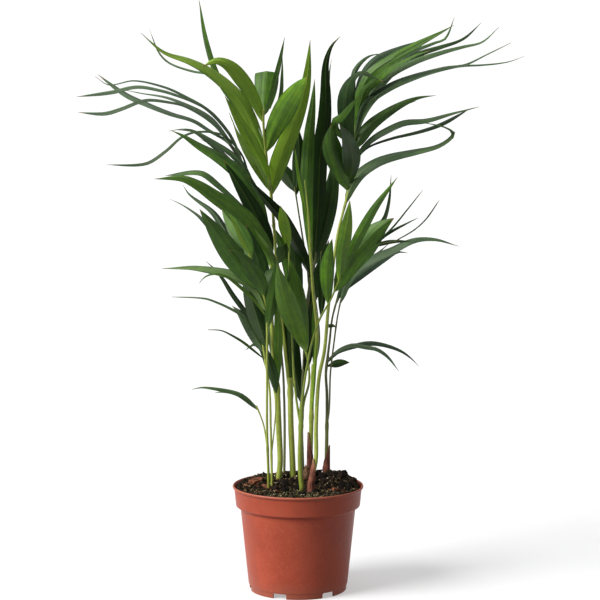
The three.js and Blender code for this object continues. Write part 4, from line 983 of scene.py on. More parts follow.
def leaf_group():
    """The colour of a blade from its tone, its painted sheen, its ribs and its drying tip, and its
    relief.
    """
    outputs = {"Colour": COLOUR, "Height": FLOAT}
    tree, start, end = new_tree("leaf_colour", "Shader", dict.fromkeys(LEAF_VALUES, 0.0), outputs)
    fine = tree.patches(5, 2.0)
    shared = {name: start[name] for name in ("Side", "Half", "Run", "Leaf")}
    ribs = tree.add("ShaderNodeGroup", shared, node_tree=VEINS)
    # The tone is partly the leaf's own colour and partly painted shade and light.
    tone = tree.swayed(start["Tone"], tree.patches(30, 2.0), 0.3)
    tone = tree.swayed(tone, fine, 0.12)
    tone = tree.plus(tone, tree.span(tree.math("ABSOLUTE", start["Side"]), 0.8, 1.0, 0.0, -0.2))
    tone = tree.swayed(tone, ribs["Lines"], 0.27)
    tone = tree.plus(tone, tree.span(start["Along"], 0.0, 0.14, 0.22, 0.0), clamp=True)
    # Painted sheen: the grey of a reflection, mixed into the green.
    colour = tree.colours(start["Waxy"], tree.ramp(tone, LEAF_GREENS), tree.ramp(tone, PAINTED_SHEEN_GREYS))
    colour = tree.layered(
        colour,
        ((124, 142, 62), tree.times(ribs["Rib"], 0.14)),  # the rib
        ((128, 98, 56), tree.plus(start["Along"], tree.times(fine, 0.05)), 0.975, 1.02),  # a dry tip
    )
    tree.fill(end, {"Colour": colour, "Height": tree.plus(ribs["Lines"], tree.times(fine, 0.5))})
    return tree.tree


def new_material(name):
    """A material, its tree and the inputs of its skin."""
    material = bpy.data.materials.new(name)
    material.use_nodes = True
    return material, Tree(material.node_tree), material.node_tree.nodes["Principled BSDF"].inputs


def leaf_material(name, under):
    material, tree, skin = new_material(name)
    values = {title: tree.value_of(title.lower()) for title in LEAF_VALUES}
    look = tree.add("ShaderNodeGroup", values, node_tree=LEAF_LOOK)
    colour, roughness, shine = look["Colour"], 0.36, 0.42
    if under:
        colour, roughness, shine = tree.layered(colour, ((96, 120, 66), 0.2)), 0.5, 0.25
    tree.fill(skin, {
        "Base Color": colour,
        "Roughness": tree.plus(roughness, tree.times(look["Height"], 0.14)),
        "Specular IOR Level": tree.span(values["Tone"], 0.0, 0.6, 0.14, shine),
        "Specular Tint": (0.85, 1.0, 0.68, 1.0),
        "Subsurface Weight": 0.08,
        "Subsurface Radius": (0.5, 1.0, 0.15),
        "Subsurface Scale": 1.5 * MM,
        "Normal": tree.bump(look["Height"], 0.16),
    })
    return material


def stalk_material():
    """Green skin, yellow and then brown towards the soil, with fine streaks along it."""
    material, tree, skin = new_material("stalk_skin")
    patches, streaks = tree.patches(9, 2.4), tree.fibres((900.0, 900.0, 12.0), 2.0)
    green = tree.ramp(tree.swayed(tree.value_of("tone"), patches, 0.35, clamp=True), STALK_GREENS)
    foot = tree.plus(tree.minus(tree.height(), SOIL_TOP * MM), tree.times(patches, 10 * MM))
    tree.fill(skin, {
        "Base Color": tree.layered(
            green,
            ((150, 160, 62), foot, 20 * MM, 90 * MM, 0.35, 0.0),  # yellow towards the soil
            ((104, 88, 44), foot, 4 * MM, 14 * MM, 0.6, 0.0),  # brown at the soil
            ((64, 72, 26), streaks, 0.3, 0.75, 0.0, 0.22),
        ),
        "Roughness": tree.span(patches, 0.2, 0.8, 0.34, 0.52),
        "Subsurface Weight": 0.1,
        "Subsurface Radius": (0.6, 1.0, 0.2),
        "Subsurface Scale": 1 * MM,
        "Normal": tree.bump(streaks, 0.12),
    })
    return material


def husk_material(name, darks, lights, dry_tip):
    """Dry fibrous skin, between two dark and two light colours by the piece's own tone."""
    material, tree, skin = new_material(name)
    tone, fibres = tree.value_of("tone"), tree.fibres((1300.0, 1300.0, 60.0), 3.0)
    dark, light = (tree.colours(tone, srgb(*low), srgb(*high)) for low, high in (darks, lights))
    drying = tree.plus(tree.value_of("along"), tree.times(tree.value_of("side"), 0.08))
    tree.fill(skin, {
        "Base Color": tree.layered(
            tree.colours(tree.span(tree.patches(6, 2.6), 0.2, 0.8), dark, light),
            ((176, 116, 88), fibres, 0.45, 0.75, 0.0, 0.6),  # pale fibres
            ((40, 20, 16), fibres, 0.42, 0.25, 0.0, 0.8),  # dark gaps between them
            ((176, 140, 104), drying, dry_tip, 1.05, 0.0, 0.6),
        ),
        "Roughness": tree.span(fibres, 0.2, 0.8, 0.55, 0.85),
        "Specular IOR Level": 0.25,
        "Normal": tree.bump(fibres, 0.4),
    })
    return material


def bark_material():
    material, tree, skin = new_material("bark_skin")
    patches, grain = tree.patches(3, 2.6), tree.fibres((260.0, 900.0, 700.0), 4.0)
    tree.fill(skin, {
        "Base Color": tree.layered(
            tree.colours(tree.span(patches, 0.2, 0.8), srgb(66, 38, 28), srgb(142, 84, 58)),
            ((182, 126, 90), grain, 0.5, 0.75, 0.0, 0.6),  # pale grain
            ((32, 20, 16), grain, 0.45, 0.25, 0.0, 0.8),  # cracks
        ),
        "Roughness": tree.span(grain, 0.2, 0.8, 0.7, 0.95),
        "Specular IOR Level": 0.2,
        "Normal": tree.bump(grain, 0.5),
    })
    return material


def earth_material(name, stops, roughness=0.95, by_tone=True, grain=0.4):
    """Crumbly stuff: its colour goes by each lump's own tone, or by patches where it has none."""
    material, tree, skin = new_material(name)
    fine = tree.patches(0.8, 3.0)
    value = tree.value_of("tone") if by_tone else tree.patches(4, 3.0)
    colour = tree.ramp(tree.swayed(value, fine, 0.3, clamp=True), stops)
    tree.fill(skin, {
        "Base Color": tree.layered(colour, ((18, 13, 10), fine, 0.35, 0.1, 0.0, 0.5)),
        "Roughness": roughness,
        "Specular IOR Level": 0.15,
        "Normal": tree.bump(fine, grain),
    })
    return material


def pot_material():
    """Moulded terracotta-coloured plastic, dull, scuffed, a little dusty, with a painted lip
    highlight.
    """
    material, tree, skin = new_material("pot_plastic")
    broad, fine, height = tree.patches(40, 1.8), tree.patches(2.2, 2.4), tree.height()
    speck = tree.noise(tree.place(), 900.0, 2.0)
    dusty = tree.plus(height, tree.times(broad, 14 * MM))
    lip_highlight = [(POT_HEIGHT - depth) * MM for depth in (2.4, 0.3)]
    soiled = tree.times(tree.span(fine, 0.62, 0.8), tree.span(height, 70 * MM, 96 * MM, 0.0, 0.5))
    rings = tree.math("SINE", tree.times(height, 2 * math.pi / (POT_RINGS * MM)))
    relief = tree.plus(tree.times(rings, 0.08), tree.plus(speck, broad))
    tree.fill(skin, {
        "Base Color": tree.layered(
            tree.colours(tree.span(broad, 0.2, 0.8), srgb(164, 68, 46), srgb(180, 80, 56)),
            ((186, 110, 86), fine, 0.5, 0.9, 0.0, 0.3),  # scuffs
            ((112, 52, 38), speck, 0.66, 0.76, 0.0, 0.35),
            ((150, 104, 84), dusty, 4 * MM, 26 * MM, 0.35, 0.0),  # dust towards the foot
            ((184, 116, 92), height, *lip_highlight, 0.0, 0.5),  # a painted highlight along the lip
            ((96, 60, 42), soiled),
        ),
        "Roughness": tree.plus(tree.span(broad, 0.2, 0.8, 0.36, 0.5), tree.times(fine, 0.1)),
        "Specular IOR Level": 0.3,
        "Normal": tree.bump(relief, 0.08),
    })
    return material


VEINS = veins_group()
MOTTLE = mottle_group()
LEAF_LOOK = leaf_group()
LEAF_UPPER = leaf_material("leaf_upper", under=False)
LEAF_UNDER = leaf_material("leaf_under", under=True)
STALK_SKIN = stalk_material()
HUSK_SKIN = husk_material(
    "husk_skin", [(50, 20, 24), (106, 56, 40)], [(88, 38, 36), (168, 106, 78)], 0.8
)
BUD_SKIN = husk_material(
    "bud_skin", [(54, 31, 22), (80, 50, 34)], [(96, 64, 46), (166, 132, 100)], 0.5
)
BARK_SKIN = bark_material()
POT_PLASTIC = pot_material()
SOIL_SKIN = earth_material(
    "soil_skin", [(0.0, (18, 15, 11)), (0.5, (38, 31, 22)), (1.0, (64, 52, 36))],
    by_tone=False, grain=0.8,
)
SOIL_CRUMB = earth_material(
    "soil_crumb",
    [
        (0.0, (20, 16, 12)), (0.45, (40, 32, 23)), (0.8, (66, 53, 36)), (0.93, (98, 80, 54)),
        (1.0, (146, 126, 92)),
    ],
)
SOIL_CLOD = earth_material(
    "soil_clod", [(0.0, (14, 12, 10)), (0.6, (28, 23, 19)), (1.0, (50, 38, 30))]
)
GRIT = earth_material(
    "grit",
    [(0.0, (104, 86, 60)), (0.5, (156, 136, 102)), (0.85, (198, 184, 152)), (1.0, (226, 220, 204))],
    roughness=0.8, grain=0.1,
)
MOSS = earth_material(
    "moss", [(0.0, (52, 54, 34)), (0.6, (90, 92, 56)), (1.0, (138, 136, 94))], grain=0.2
)

# ---------------------------------------------------------------- blades and stalks

RIBBON_STEP = 4.5  # length of one face along a blade
RIBBON_STEPS = (14, 64)  # fewest and most faces along a blade
RIBBON_COLUMNS = 12
TIP_HALF = 0.12  # a blade is never narrower than this to either side
ROOT_NECK = 0.3  # a blade narrows to this share of its width where it leaves the stalk
ROOT_RUN = 9  # over this length
STALK_STEP = 3  # length of one face along a stalk
STALK_SIDES = 14
SWELL = 0.22  # a stalk is thicker by this share where a leaf grows from it
SWELL_REACH = 3.5
LEAF_SHARP = 50  # degrees from which a fold in a blade or a husk shows as an edge


def blade_tree():
    """Folds flat ribbons into keeled blades, thin shells that close along their edges."""
    inputs = {
        "Ribbons": GEOMETRY,
        "Keel": KEEL,
        "Root Keel": 0.8,
        "Root Run": 0.12,
        "Fold": 1.3,
        "Rib Height": 0.3 * MM,
        "Rib Width": 0.2,
        "Ripple": 1.0 * MM,
        "Ripple Length": 26 * MM,
        "Thickness": 0.45 * MM,
        "Edge Power": 6.0,
        "Upper Material": MATERIAL,
        "Under Material": MATERIAL,
    }
    tree, start, end = new_tree("blade_section", "Geometry", inputs, {"Blades": GEOMETRY})
    side, half, along = (tree.named(name) for name in ("side", "half", "along"))
    face = tree.named("face", "FLOAT_VECTOR")
    reach = tree.math("ABSOLUTE", side)
    keel = tree.span(along, 0.0, start["Root Run"], start["Root Keel"], start["Keel"])
    drop = tree.times(half, keel, tree.math("POWER", reach, start["Fold"]))
    rib = tree.times(tree.span(reach, 0.0, start["Rib Width"], 1.0, 0.0), start["Rib Height"])
    fineness = tree.math("DIVIDE", 1.0, start["Ripple Length"])
    waves = tree.noise(tree.scaled(tree.shape("InputPosition"), fineness), detail=1.0)
    wave = tree.times(tree.minus(waves, 0.5), start["Ripple"], tree.times(reach, reach))
    wave = tree.times(wave, tree.span(along, 0.05, 0.3))
    folded = tree.moved(start["Ribbons"], face, tree.minus(tree.plus(rib, wave), drop))
    fullness = tree.minus(1.0, tree.math("POWER", reach, start["Edge Power"]))
    fullness = tree.times(fullness, tree.span(along, 0.0, 0.03), tree.span(along, 0.9, 1.0, 1.0, 0.0))
    offset = tree.times(fullness, start["Thickness"], 0.5)
    upper = tree.moved(folded, face, offset)
    lower = tree.shape("FlipFaces", {"Mesh": tree.moved(folded, face, tree.times(offset, -1.0))})
    both = tree.tree.nodes.new("GeometryNodeJoinGeometry")
    tree.tree.links.new(tree.stored(lower, "under", 1.0, "FACE"), both.inputs[0])
    tree.tree.links.new(upper, both.inputs[0])
    closed = tree.shape("MergeByDistance", {"Geometry": both.outputs[0], "Distance": 0.001 * MM})
    done = tree.finished(closed, start["Upper Material"])
    inputs = {"Geometry": done, "Selection": tree.named("under"), "Material": start["Under Material"]}
    tree.fill(end, {0: tree.shape("SetMaterial", inputs)})
    return tree.tree


def ribbon(leaf, route, stem, number):
    """Points, faces and values of one blade, laid flat along its route."""
    rows = int(np.clip(round(route.length / RIBBON_STEP), *RIBBON_STEPS))
    t = shares(rows)
    leaving = np.minimum(1, t * route.length / ROOT_RUN)
    neck = ROOT_NECK + (1 - ROOT_NECK) * np.sin(leaving * math.pi / 2)
    half = np.maximum(leaf.width * width_share(t, leaf.peak) / 2 * neck, TIP_HALF)
    across, face = route.section(t, look_of(leaf, t))
    wide = RIBBON_COLUMNS + 1
    side = np.linspace(-1, 1, wide)
    points = route.point(t)[:, None] + across[:, None] * (side[None, :, None] * half[:, None, None])
    values = {
        "side": np.tile(side, rows + 1),
        "half": np.repeat(half * MM, wide),
        "along": np.repeat(t, wide),
        "face": np.repeat(face, wide, axis=0),
        "tone": np.full(wide * (rows + 1), stem.tone if leaf.tone is None else leaf.tone),
        "waxy": np.full(wide * (rows + 1), stem.waxy if leaf.waxy is None else leaf.waxy),
        "run": np.repeat(t * route.length * MM, wide),
        "leaf": np.full(wide * (rows + 1), number),
    }
    return points.reshape(-1, 3), grid_faces(rows, RIBBON_COLUMNS), values


def stalk_tree():
    """Skins lines with round, faintly uneven stalks."""
    inputs = {
        "Lines": GEOMETRY,
        "Sides": STALK_SIDES,
        "Unevenness": 0.25 * MM,
        "Fineness": 90.0,
        "Material": MATERIAL,
    }
    tree, start, end = new_tree("stalk_skin", "Geometry", inputs, {"Stalks": GEOMETRY})
    curves = tree.shape("MeshToCurve", {"Mesh": start["Lines"]})
    ring = tree.shape("CurvePrimitiveCircle", {"Resolution": start["Sides"], "Radius": 1.0})
    inputs = {"Curve": curves, "Profile Curve": ring, "Scale": tree.named("radius"), "Fill Caps": True}
    skin = tree.shaken(tree.shape("CurveToMesh", inputs), start["Fineness"], start["Unevenness"])
    skin = tree.shape("SetShadeSmooth", {"Geometry": skin})
    tree.fill(end, {0: tree.finished(skin, start["Material"])})
    return tree.tree


def stalk_lines(stem, routes, leaf_routes):
    """The stalks' middle lines as a mesh of edges, thicker where a leaf or a stalk branches off."""
    roots = np.array([route.points[0] for route in leaf_routes + routes[1:]])
    points, edges, radii = [], [], []
    for stalk, route in zip(stem.stalks, routes):
        t = shares(math.ceil(route.length / STALK_STEP))
        line = route.point(t)
        gaps = np.sqrt(((line[:, None] - roots[None]) ** 2).sum(axis=2)).min(axis=1)
        swell = 1 + SWELL * np.exp(-((gaps / SWELL_REACH) ** 2))
        edges += [(i, i + 1) for i in range(len(points), len(points) + len(line) - 1)]
        points += list(line)
        radii += list(mix(stalk.thickness, t) / 2 * swell * MM)
    values = {"radius": radii, "tone": np.full(len(points), stem.stalk_tone)}
    return mesh_of(stem.name + "_lines", points, [], values, edges)


def make_stems(plant):
    blades, skin = blade_tree(), stalk_tree()
    looks = {"Upper Material": LEAF_UPPER, "Under Material": LEAF_UNDER}
    for stem, routes, leaf_routes in plant.values():
        if not stem.leaves:
            continue
        short = stem.name.removeprefix("leafy_stem_")
        ribbons = [ribbon(*blade, stem, n) for n, blade in enumerate(zip(stem.leaves, leaf_routes))]
        piece = baked("blades_" + short, mesh_of("ribbons", *joined(ribbons)), blades, looks)
        settle(piece, stem.slot, stem.name, sharp=LEAF_SHARP)
        lines = stalk_lines(stem, routes, leaf_routes)
        piece = baked("stalks_" + short, lines, skin, {"Material": STALK_SKIN})
        settle(piece, stem.slot, stem.name)


# ---------------------------------------------------------------- husks and bud

HUSKS = [  # the stem, where it starts and ends along it, the side of its tip, its thickness and tone
    ("right_middle", (0.09, 0.54), (-1, -0.6), 0.5, 0.05),
    ("right_front", (0.045, 0.15), (-1, -0.7), 0.3, 0.45),
    ("right", (0.09, 0.3), (1, -0.6), 1.2, 0.35),
]
HUSK_ROWS = 36
HUSK_COLUMNS = 40
HUSK_SHELL = 0.45
HUSK_TIP = 0.5  # how far its tip stands off the stalk
HUSK_CUT = 0.74  # share of its height that is cut away across from its tip
HUSK_CUT_CURVE = 1.15
HUSK_TAPER = 0.7
HUSK_WAVES, HUSK_WAVE = 9, 0.015  # waves along the cut
HUSK_RIDGES, HUSK_RIDGE = 11, 0.12  # ridges round its foot
STALK_FACETS = 6  # of the solid stalk, which the husk clears


def make_husk(plant, short, reach, lean, grow, tone):
    """A dry leaf base round the foot of a stem, cut slantwise to a point on one side."""
    stem, (route, *_), _ = plant["leafy_stem_" + short]
    inner = (stem.stalks[0].thickness[0] / 2 + GAP) / math.cos(math.pi / STALK_FACETS)
    aside = unit(np.array([*lean, 0.0]))
    u, angles = shares(HUSK_ROWS), around(HUSK_COLUMNS)

    def outwards(t, a):
        across, face = route.section(t, FRONT)
        return across * math.cos(a) + face * math.sin(a)

    points, along = [], []
    for a in angles:
        facing = (outwards(mix(reach, u), a)[0] * aside).sum()
        away = math.acos(float(np.clip(facing, -1, 1))) / math.pi
        share = u * (1 - HUSK_CUT * away**HUSK_CUT_CURVE + HUSK_WAVE * math.sin(HUSK_WAVES * a))
        t = mix(reach, share)
        ridge = HUSK_RIDGE * math.sin(HUSK_RIDGES * a)
        radius = mix((inner + grow, inner + HUSK_TIP), share**HUSK_TAPER) + ridge * (1 - share)
        points.append(route.point(t) + outwards(t, a) * radius[:, None])
        along.append(share)
    points = np.array(points).transpose(1, 0, 2).reshape(-1, 3)
    values = {
        "along": np.array(along).T.ravel(),
        "side": np.tile(np.sin(angles), HUSK_ROWS + 1),
        "tone": np.full(len(points), tone),
    }
    mesh = mesh_of("husk", points, grid_faces(HUSK_ROWS, HUSK_COLUMNS, closed=True), values)
    piece = baked("husk_" + short, mesh, finish=walled(HUSK_SHELL))
    settle(piece, "husk", "sheath_" + short, material=HUSK_SKIN, sharp=LEAF_SHARP)


BUD_SCALES = 13
BUD_TURN = 137.5  # degrees from one scale to the next
BUD_FOOT = 1  # its lowest scales start this far above the soil
SCALE_STEPS = 6
SCALE_SHELL = 0.3
SCALE_SPREAD = 0.72  # share of the bud's height that the feet of its scales take up
SCALE_LONG, SCALE_SHORTER = 0.46, 0.12  # a scale's share of the height, and how much it loses upwards
SCALE_HUG = 1.25  # how far a scale reaches round the bud to either side, in radians
SCALE_POINT = 2.2  # the higher, the blunter a scale
SCALE_DROOP = 0.25  # how much lower its edges start
SCALE_TONE = 0.37  # how much the tone goes on from one scale to the next
BUD_GIRTH, BUD_NARROWING = 1.15, 0.5  # against its half width
BELLY_LOW, BELLY_SWELL, BELLY_BEND = 0.82, 0.2, 2.4  # how a scale swells outwards along its length
CLOSING, CLOSING_RUN, CLOSING_FROM = 0.7, 0.4, 0.75  # how the topmost scales close over the tip


def make_bud():
    """A short bud of overlapping scales, set in a spiral round its middle line."""
    foot, tip = (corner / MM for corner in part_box("bud"))
    axis, widest = (foot + tip) / 2, (tip.x - foot.x) / 2
    low = SOIL_TOP + BUD_FOOT
    tall = tip.z - low
    v = np.repeat(shares(SCALE_STEPS), SCALE_STEPS + 1)
    w = np.tile(np.linspace(-1, 1, SCALE_STEPS + 1), SCALE_STEPS + 1)
    scales = []
    for n in range(BUD_SCALES):
        share = n / BUD_SCALES
        angle = math.radians(BUD_TURN * n) + w * SCALE_HUG * (1 - v**SCALE_POINT)
        ring = widest * (BUD_GIRTH - BUD_NARROWING * share**2)
        belly = ring * (BELLY_LOW + BELLY_SWELL * np.sin(v * BELLY_BEND))
        belly = belly * (1 - CLOSING * np.maximum(0, share + CLOSING_RUN * v - CLOSING_FROM))
        long = tall * (SCALE_LONG - SCALE_SHORTER * share)
        z = low + tall * share * SCALE_SPREAD + long * v - SCALE_DROOP * abs(w)
        points = np.stack([axis.x + belly * np.cos(angle), axis.y + belly * np.sin(angle), z], axis=1)
        values = {"along": v, "side": w, "tone": np.full(len(v), (n * SCALE_TONE) % 1)}
        scales.append((points, grid_faces(SCALE_STEPS, SCALE_STEPS), values))
    piece = baked("bud_scales", mesh_of("bud_scales", *joined(scales)), finish=walled(SCALE_SHELL))
    settle(piece, "husk", "bud", material=BUD_SKIN)


# ---------------------------------------------------------------- pot

ARC_STEPS = 3  # faces round a rounded corner of the pot's wall
NOTCH_ROUND = 1.2
NOTCH_ARC_STEPS = 4
DRAIN_SIDES = 32
POT_SHARP = 35  # degrees from which a corner shows as an edge


def rounded(profile):
    """The profile (r, z, radius) with every corner between its ends drawn as a short arc."""
    corners, radii = np.array(profile, float)[:, :2], [radius for _, _, radius in profile]
    out = [corners[0]]
    for *ends, here, radius in zip(corners, corners[2:], corners[1:], radii[1:]):
        start, stop = (here + way / np.linalg.norm(way) * radius for way in ends - here)
        for s in shares(ARC_STEPS):
            out.append((1 - s) ** 2 * start + 2 * s * (1 - s) * here + s * s * stop)
    return [*out, corners[-1]]


def ring_points(r, z, segments):
    return [(r * math.cos(a), r * math.sin(a), z) for a in around(segments)]


def lathed(name, profile, segments):
    """A closed skin turned round the Z axis. The profile starts and ends on the axis."""
    (_, low), *rings, (_, high) = profile
    points = [point for r, z in rings for point in ring_points(r, z, segments)]
    return mesh_of(name, *closed_body(points, segments, (0, 0, low), (0, 0, high)))


def top_side(edge):
    """Whether an edge of a notch's block runs along the radius at its top."""
    a, b = (v.co for v in edge.verts)
    return a.z > 0 and b.z > 0 and abs(a.x - b.x) > abs(a.y - b.y)


def pot_cutters():
    """The blocks and rods that cut the foot's notches and the drain holes."""
    shape = bmesh.new()
    wide = 2 * FOOT_RADIUS * math.sin(math.radians(NOTCH_WIDE / 2))
    size = Matrix.Diagonal((NOTCH_CUT * MM, wide * MM, 2 * NOTCH_HEIGHT * MM, 1))
    rounding = {"offset": NOTCH_ROUND * MM, "segments": NOTCH_ARC_STEPS, "profile": 0.5}
    rod = {"radius1": DRAIN_RADIUS * MM, "radius2": DRAIN_RADIUS * MM, "depth": 4 * WALL * MM}
    notch_place = Matrix.Translation((FOOT_RADIUS * MM, 0, 0))
    drain_place = Matrix.Translation((DRAIN_RING * MM, 0, (FOOT_HEIGHT + WALL / 2) * MM))
    for n in range(NOTCHES):
        bearing = Matrix.Rotation(math.radians(NOTCH_FIRST + n * 360 / NOTCHES - 90), 4, "Z")
        block = bmesh.ops.create_cube(shape, size=1, matrix=size)["verts"]
        edges = [e for e in shape.edges if all(v in block for v in e.verts) and top_side(e)]
        made = bmesh.ops.bevel(shape, geom=edges, affect="EDGES", **rounding)["verts"]
        block = list({v for v in block if v.is_valid} | set(made))
        bmesh.ops.transform(shape, verts=block, matrix=bearing @ notch_place)
        place = bearing @ drain_place
        bmesh.ops.create_cone(shape, cap_ends=True, segments=DRAIN_SIDES, matrix=place, **rod)
    return mesh_from("pot_cutters", shape)


def make_pot():
    profile = rounded([
        (0, FOOT_HEIGHT, 0),
        (FOOT_RADIUS - WALL, FOOT_HEIGHT, ROUND),
        (FOOT_RADIUS - WALL, 0, FOOT_ROUND),
        (FOOT_RADIUS, 0, FOOT_ROUND),
        (FOOT_RADIUS + ROUND, FOOT_HEIGHT - ROUND, ROUND),
        (WALL_FOOT_RADIUS, FOOT_HEIGHT + 2 * ROUND, ROUND),
        (WALL_TOP_RADIUS, STEP_LOW, ROUND),
        (WALL_TOP_RADIUS + 2 * ROUND, STEP_LOW + ROUND, ROUND / 2),
        (RIM_BAND_RADIUS, BAND_LOW, ROUND),
        (LIP_RADIUS, LIP_LOW, ROUND / 2),
        (RIM_RADIUS, LIP_LOW + RIM_RADIUS - LIP_RADIUS, ROUND),
        (RIM_RADIUS, POT_HEIGHT - 1.5 * ROUND, ROUND),
        (RIM_RADIUS - WALL / 2, POT_HEIGHT, WALL / 3),
        (RIM_RADIUS - WALL, POT_HEIGHT - ROUND, ROUND / 2),
        (LIP_RADIUS - WALL, LIP_LOW, ROUND),
        (RIM_BAND_RADIUS - WALL, BAND_LOW + WALL, ROUND),
        (WALL_TOP_RADIUS - WALL, STEP_LOW + WALL, ROUND),
        (WALL_FOOT_RADIUS - WALL, FLOOR_TOP, 3 * ROUND),
        (0, FLOOR_TOP, 0),
    ])
    cutter = placed("pot_cutters", pot_cutters())

    def cut(maker):
        holes = maker.modifiers.new("holes", "BOOLEAN")
        holes.object = cutter
        holes.solver = "EXACT"

    piece = baked("pot_shell", lathed("pot_shell", profile, POT_SEGMENTS), finish=cut)
    bpy.data.objects.remove(cutter)
    piece.data.shade_smooth()
    settle(piece, "pot", "pot", material=POT_PLASTIC, sharp=POT_SHARP)


# ---------------------------------------------------------------- soil

SOIL_RINGS = 64
SOIL_SECTORS = 200
RINGS_CURVE = 1.15  # above 1, the rings lie closer together near the edge
CLOD_SIZES = [(9.0, 1.5), (4.0, 0.8)]  # size of the unevenness, and how high it stands
RIM_DEPTH = 1.2  # the soil's edge stays this far under the rim
RIM_RISE = 0.55  # and from there it may rise by this from ring to ring
BARE_EDGE = 1.2  # nothing loose lies nearer to the wall than this
FULL_TURN = 6.28
SHAKE = 4.0  # how far a lump's corners move at a roughness of 1, against its size
COVERS = {  # how thick each lies anywhere, where it lies thicker, and how wide that is
    "moss": (0, (-2, -38), (26, 16)),
    "bark": (0.14, (-38, 2), (16, 26)),
    "clods": (0.25, (34, 18), (20, 26)),
    "grit": (0.3, (0, -48), (50, 14)),
}
SCATTERED = [  # the piece, its slot, its material, and its own values
    ("soil_crumbs", "soil", SOIL_CRUMB, {"Density": 420000.0, "Corners": 1}),
    ("soil_clods", "soil", SOIL_CLOD, {
        "Where": "clods", "Density": 26000.0, "Smallest": 1.2 * MM, "Largest": 3.6 * MM,
        "Roughness": 0.6, "Seed": 5,
    }),
    ("soil_bark_bits", "bark", BARK_SKIN, {
        "Where": "bark", "Density": 30000.0, "Smallest": 0.6 * MM, "Largest": 2.2 * MM,
        "Long": 2.4, "Flat": 0.4, "Seed": 9, "Lean": 0.7, "Rise": 0.3,
    }),
    ("soil_grit", "soil", GRIT, {
        "Where": "grit", "Density": 90000.0, "Smallest": 0.3 * MM, "Largest": 0.9 * MM,
        "Seed": 13, "Rise": 0.5,
    }),
    ("soil_moss", "soil", MOSS, {
        "Where": "moss", "Density": 420000.0, "Smallest": 0.25 * MM, "Largest": 0.7 * MM,
        "Flat": 2.6, "Long": 1.0, "Lean": 0.5, "Seed": 21, "Rise": 0.8, "Corners": 1,
    }),
]


def near(x, y, at, wide):
    """1 at a place, and less away from it."""
    return math.exp(-(((x - at[0]) / wide[0]) ** 2) - ((y - at[1]) / wide[1]) ** 2)


def soil_height(x, y):
    height = SOIL_TOP + SOIL_LUMP * math.sin(x / SOIL_LUMP_SIZE + 1) * math.cos(y / SOIL_LUMP_SIZE)
    for rise, at, wide in SOIL_SWELLS:
        height += rise * near(x, y, at, wide)
    return height


def rough_soil(x, y):
    rough = sum(high * noise.noise(Vector((x, y, 0)) / size) for size, high in CLOD_SIZES)
    return soil_height(x, y) + rough


def soil_mesh():
    """The soil as one closed body, with the places where each cover lies on its top."""
    edge = LIP_RADIUS - WALL - SOIL_GAP
    walls = [
        (WALL_FOOT_RADIUS - WALL - 3 * ROUND - SOIL_GAP, FLOOR_TOP + GAP),
        (WALL_TOP_RADIUS - WALL - SOIL_GAP, STEP_LOW + WALL),
        (RIM_BAND_RADIUS - WALL - SOIL_GAP, BAND_LOW + WALL + SOIL_GAP),
    ]
    points = [point for r, z in walls for point in ring_points(r, z, SOIL_SECTORS)]
    for n in range(SOIL_RINGS):
        highest = POT_HEIGHT - RIM_DEPTH + RIM_RISE * n
        ring = ring_points(edge * (1 - (n / SOIL_RINGS) ** RINGS_CURVE), 0, SOIL_SECTORS)
        points += [(x, y, min(rough_soil(x, y), highest)) for x, y, _ in ring]
    middles = (0, 0, FLOOR_TOP + GAP), (0, 0, rough_soil(0, 0))
    points, faces = closed_body(points, SOIL_SECTORS, *middles)
    top = [
        float(z > BAND_LOW + 3 * WALL and math.hypot(x, y) < edge - BARE_EDGE) for x, y, z in points
    ]
    values = {"top": top}
    for name, (anywhere, at, wide) in COVERS.items():
        values[name] = [t * (anywhere + near(x, y, at, wide)) for (x, y, _), t in zip(points, top)]
    return mesh_of("soil", points, faces, values)


def scatter_tree():
    """Scatters rough lumps over a surface where a named value is above zero."""
    inputs = {
        "Ground": GEOMETRY,
        "Where": "top",
        "Density": 1000.0,
        "Smallest": 0.5 * MM,
        "Largest": 1.5 * MM,
        "Rarity": 2.2,
        "Long": 1.3,
        "Flat": 0.8,
        "Roughness": 0.5,
        "Fineness": 420.0,
        "Lean": 3.1,
        "Rise": 0.0,
        "Seed": 1,
        "Tone Seed": 77,
        "Corners": 2,
        "Material": MATERIAL,
    }
    tree, start, end = new_tree("scattered_lumps", "Geometry", inputs, {"Lumps": GEOMETRY})
    density = tree.times(tree.named(start["Where"]), start["Density"])
    inputs = {"Mesh": start["Ground"], "Density": density, "Seed": start["Seed"]}
    spots = tree.shape("DistributePointsOnFaces", inputs)
    pull = tree.math("POWER", tree.random("FLOAT", start["Seed"], 0.0, 1.0), start["Rarity"])
    size = tree.span(pull, 0.0, 1.0, start["Smallest"], start["Largest"])
    lean = tree.vector(start["Lean"], start["Lean"], FULL_TURN)
    turn = tree.random("FLOAT_VECTOR", start["Seed"], (0.0, 0.0, 0.0), lean)
    lump = tree.shape("MeshIcoSphere", {"Radius": 1.0, "Subdivisions": start["Corners"]})
    stretch = tree.scaled(tree.vector(start["Long"], 1.0, start["Flat"]), size)
    inputs = {"Points": spots, "Instance": lump, "Rotation": turn, "Scale": stretch}
    lumps = tree.shape("InstanceOnPoints", inputs)
    lift = tree.vector(z=tree.times(size, start["Rise"]))
    lumps = tree.shape("TranslateInstances", {0: lumps, "Translation": lift, "Local Space": False})
    tone = tree.random("FLOAT", start["Tone Seed"], 0.0, 1.0)
    for name, value in (("tone", tone), ("size", size)):
        lumps = tree.stored(lumps, name, value, "INSTANCE")
    real = tree.shape("RealizeInstances", {"Geometry": lumps})
    amount = tree.times(tree.named("size"), start["Roughness"], SHAKE)
    rough = tree.shaken(real, start["Fineness"], amount)
    tree.fill(end, {0: tree.finished(rough, start["Material"])})
    return tree.tree


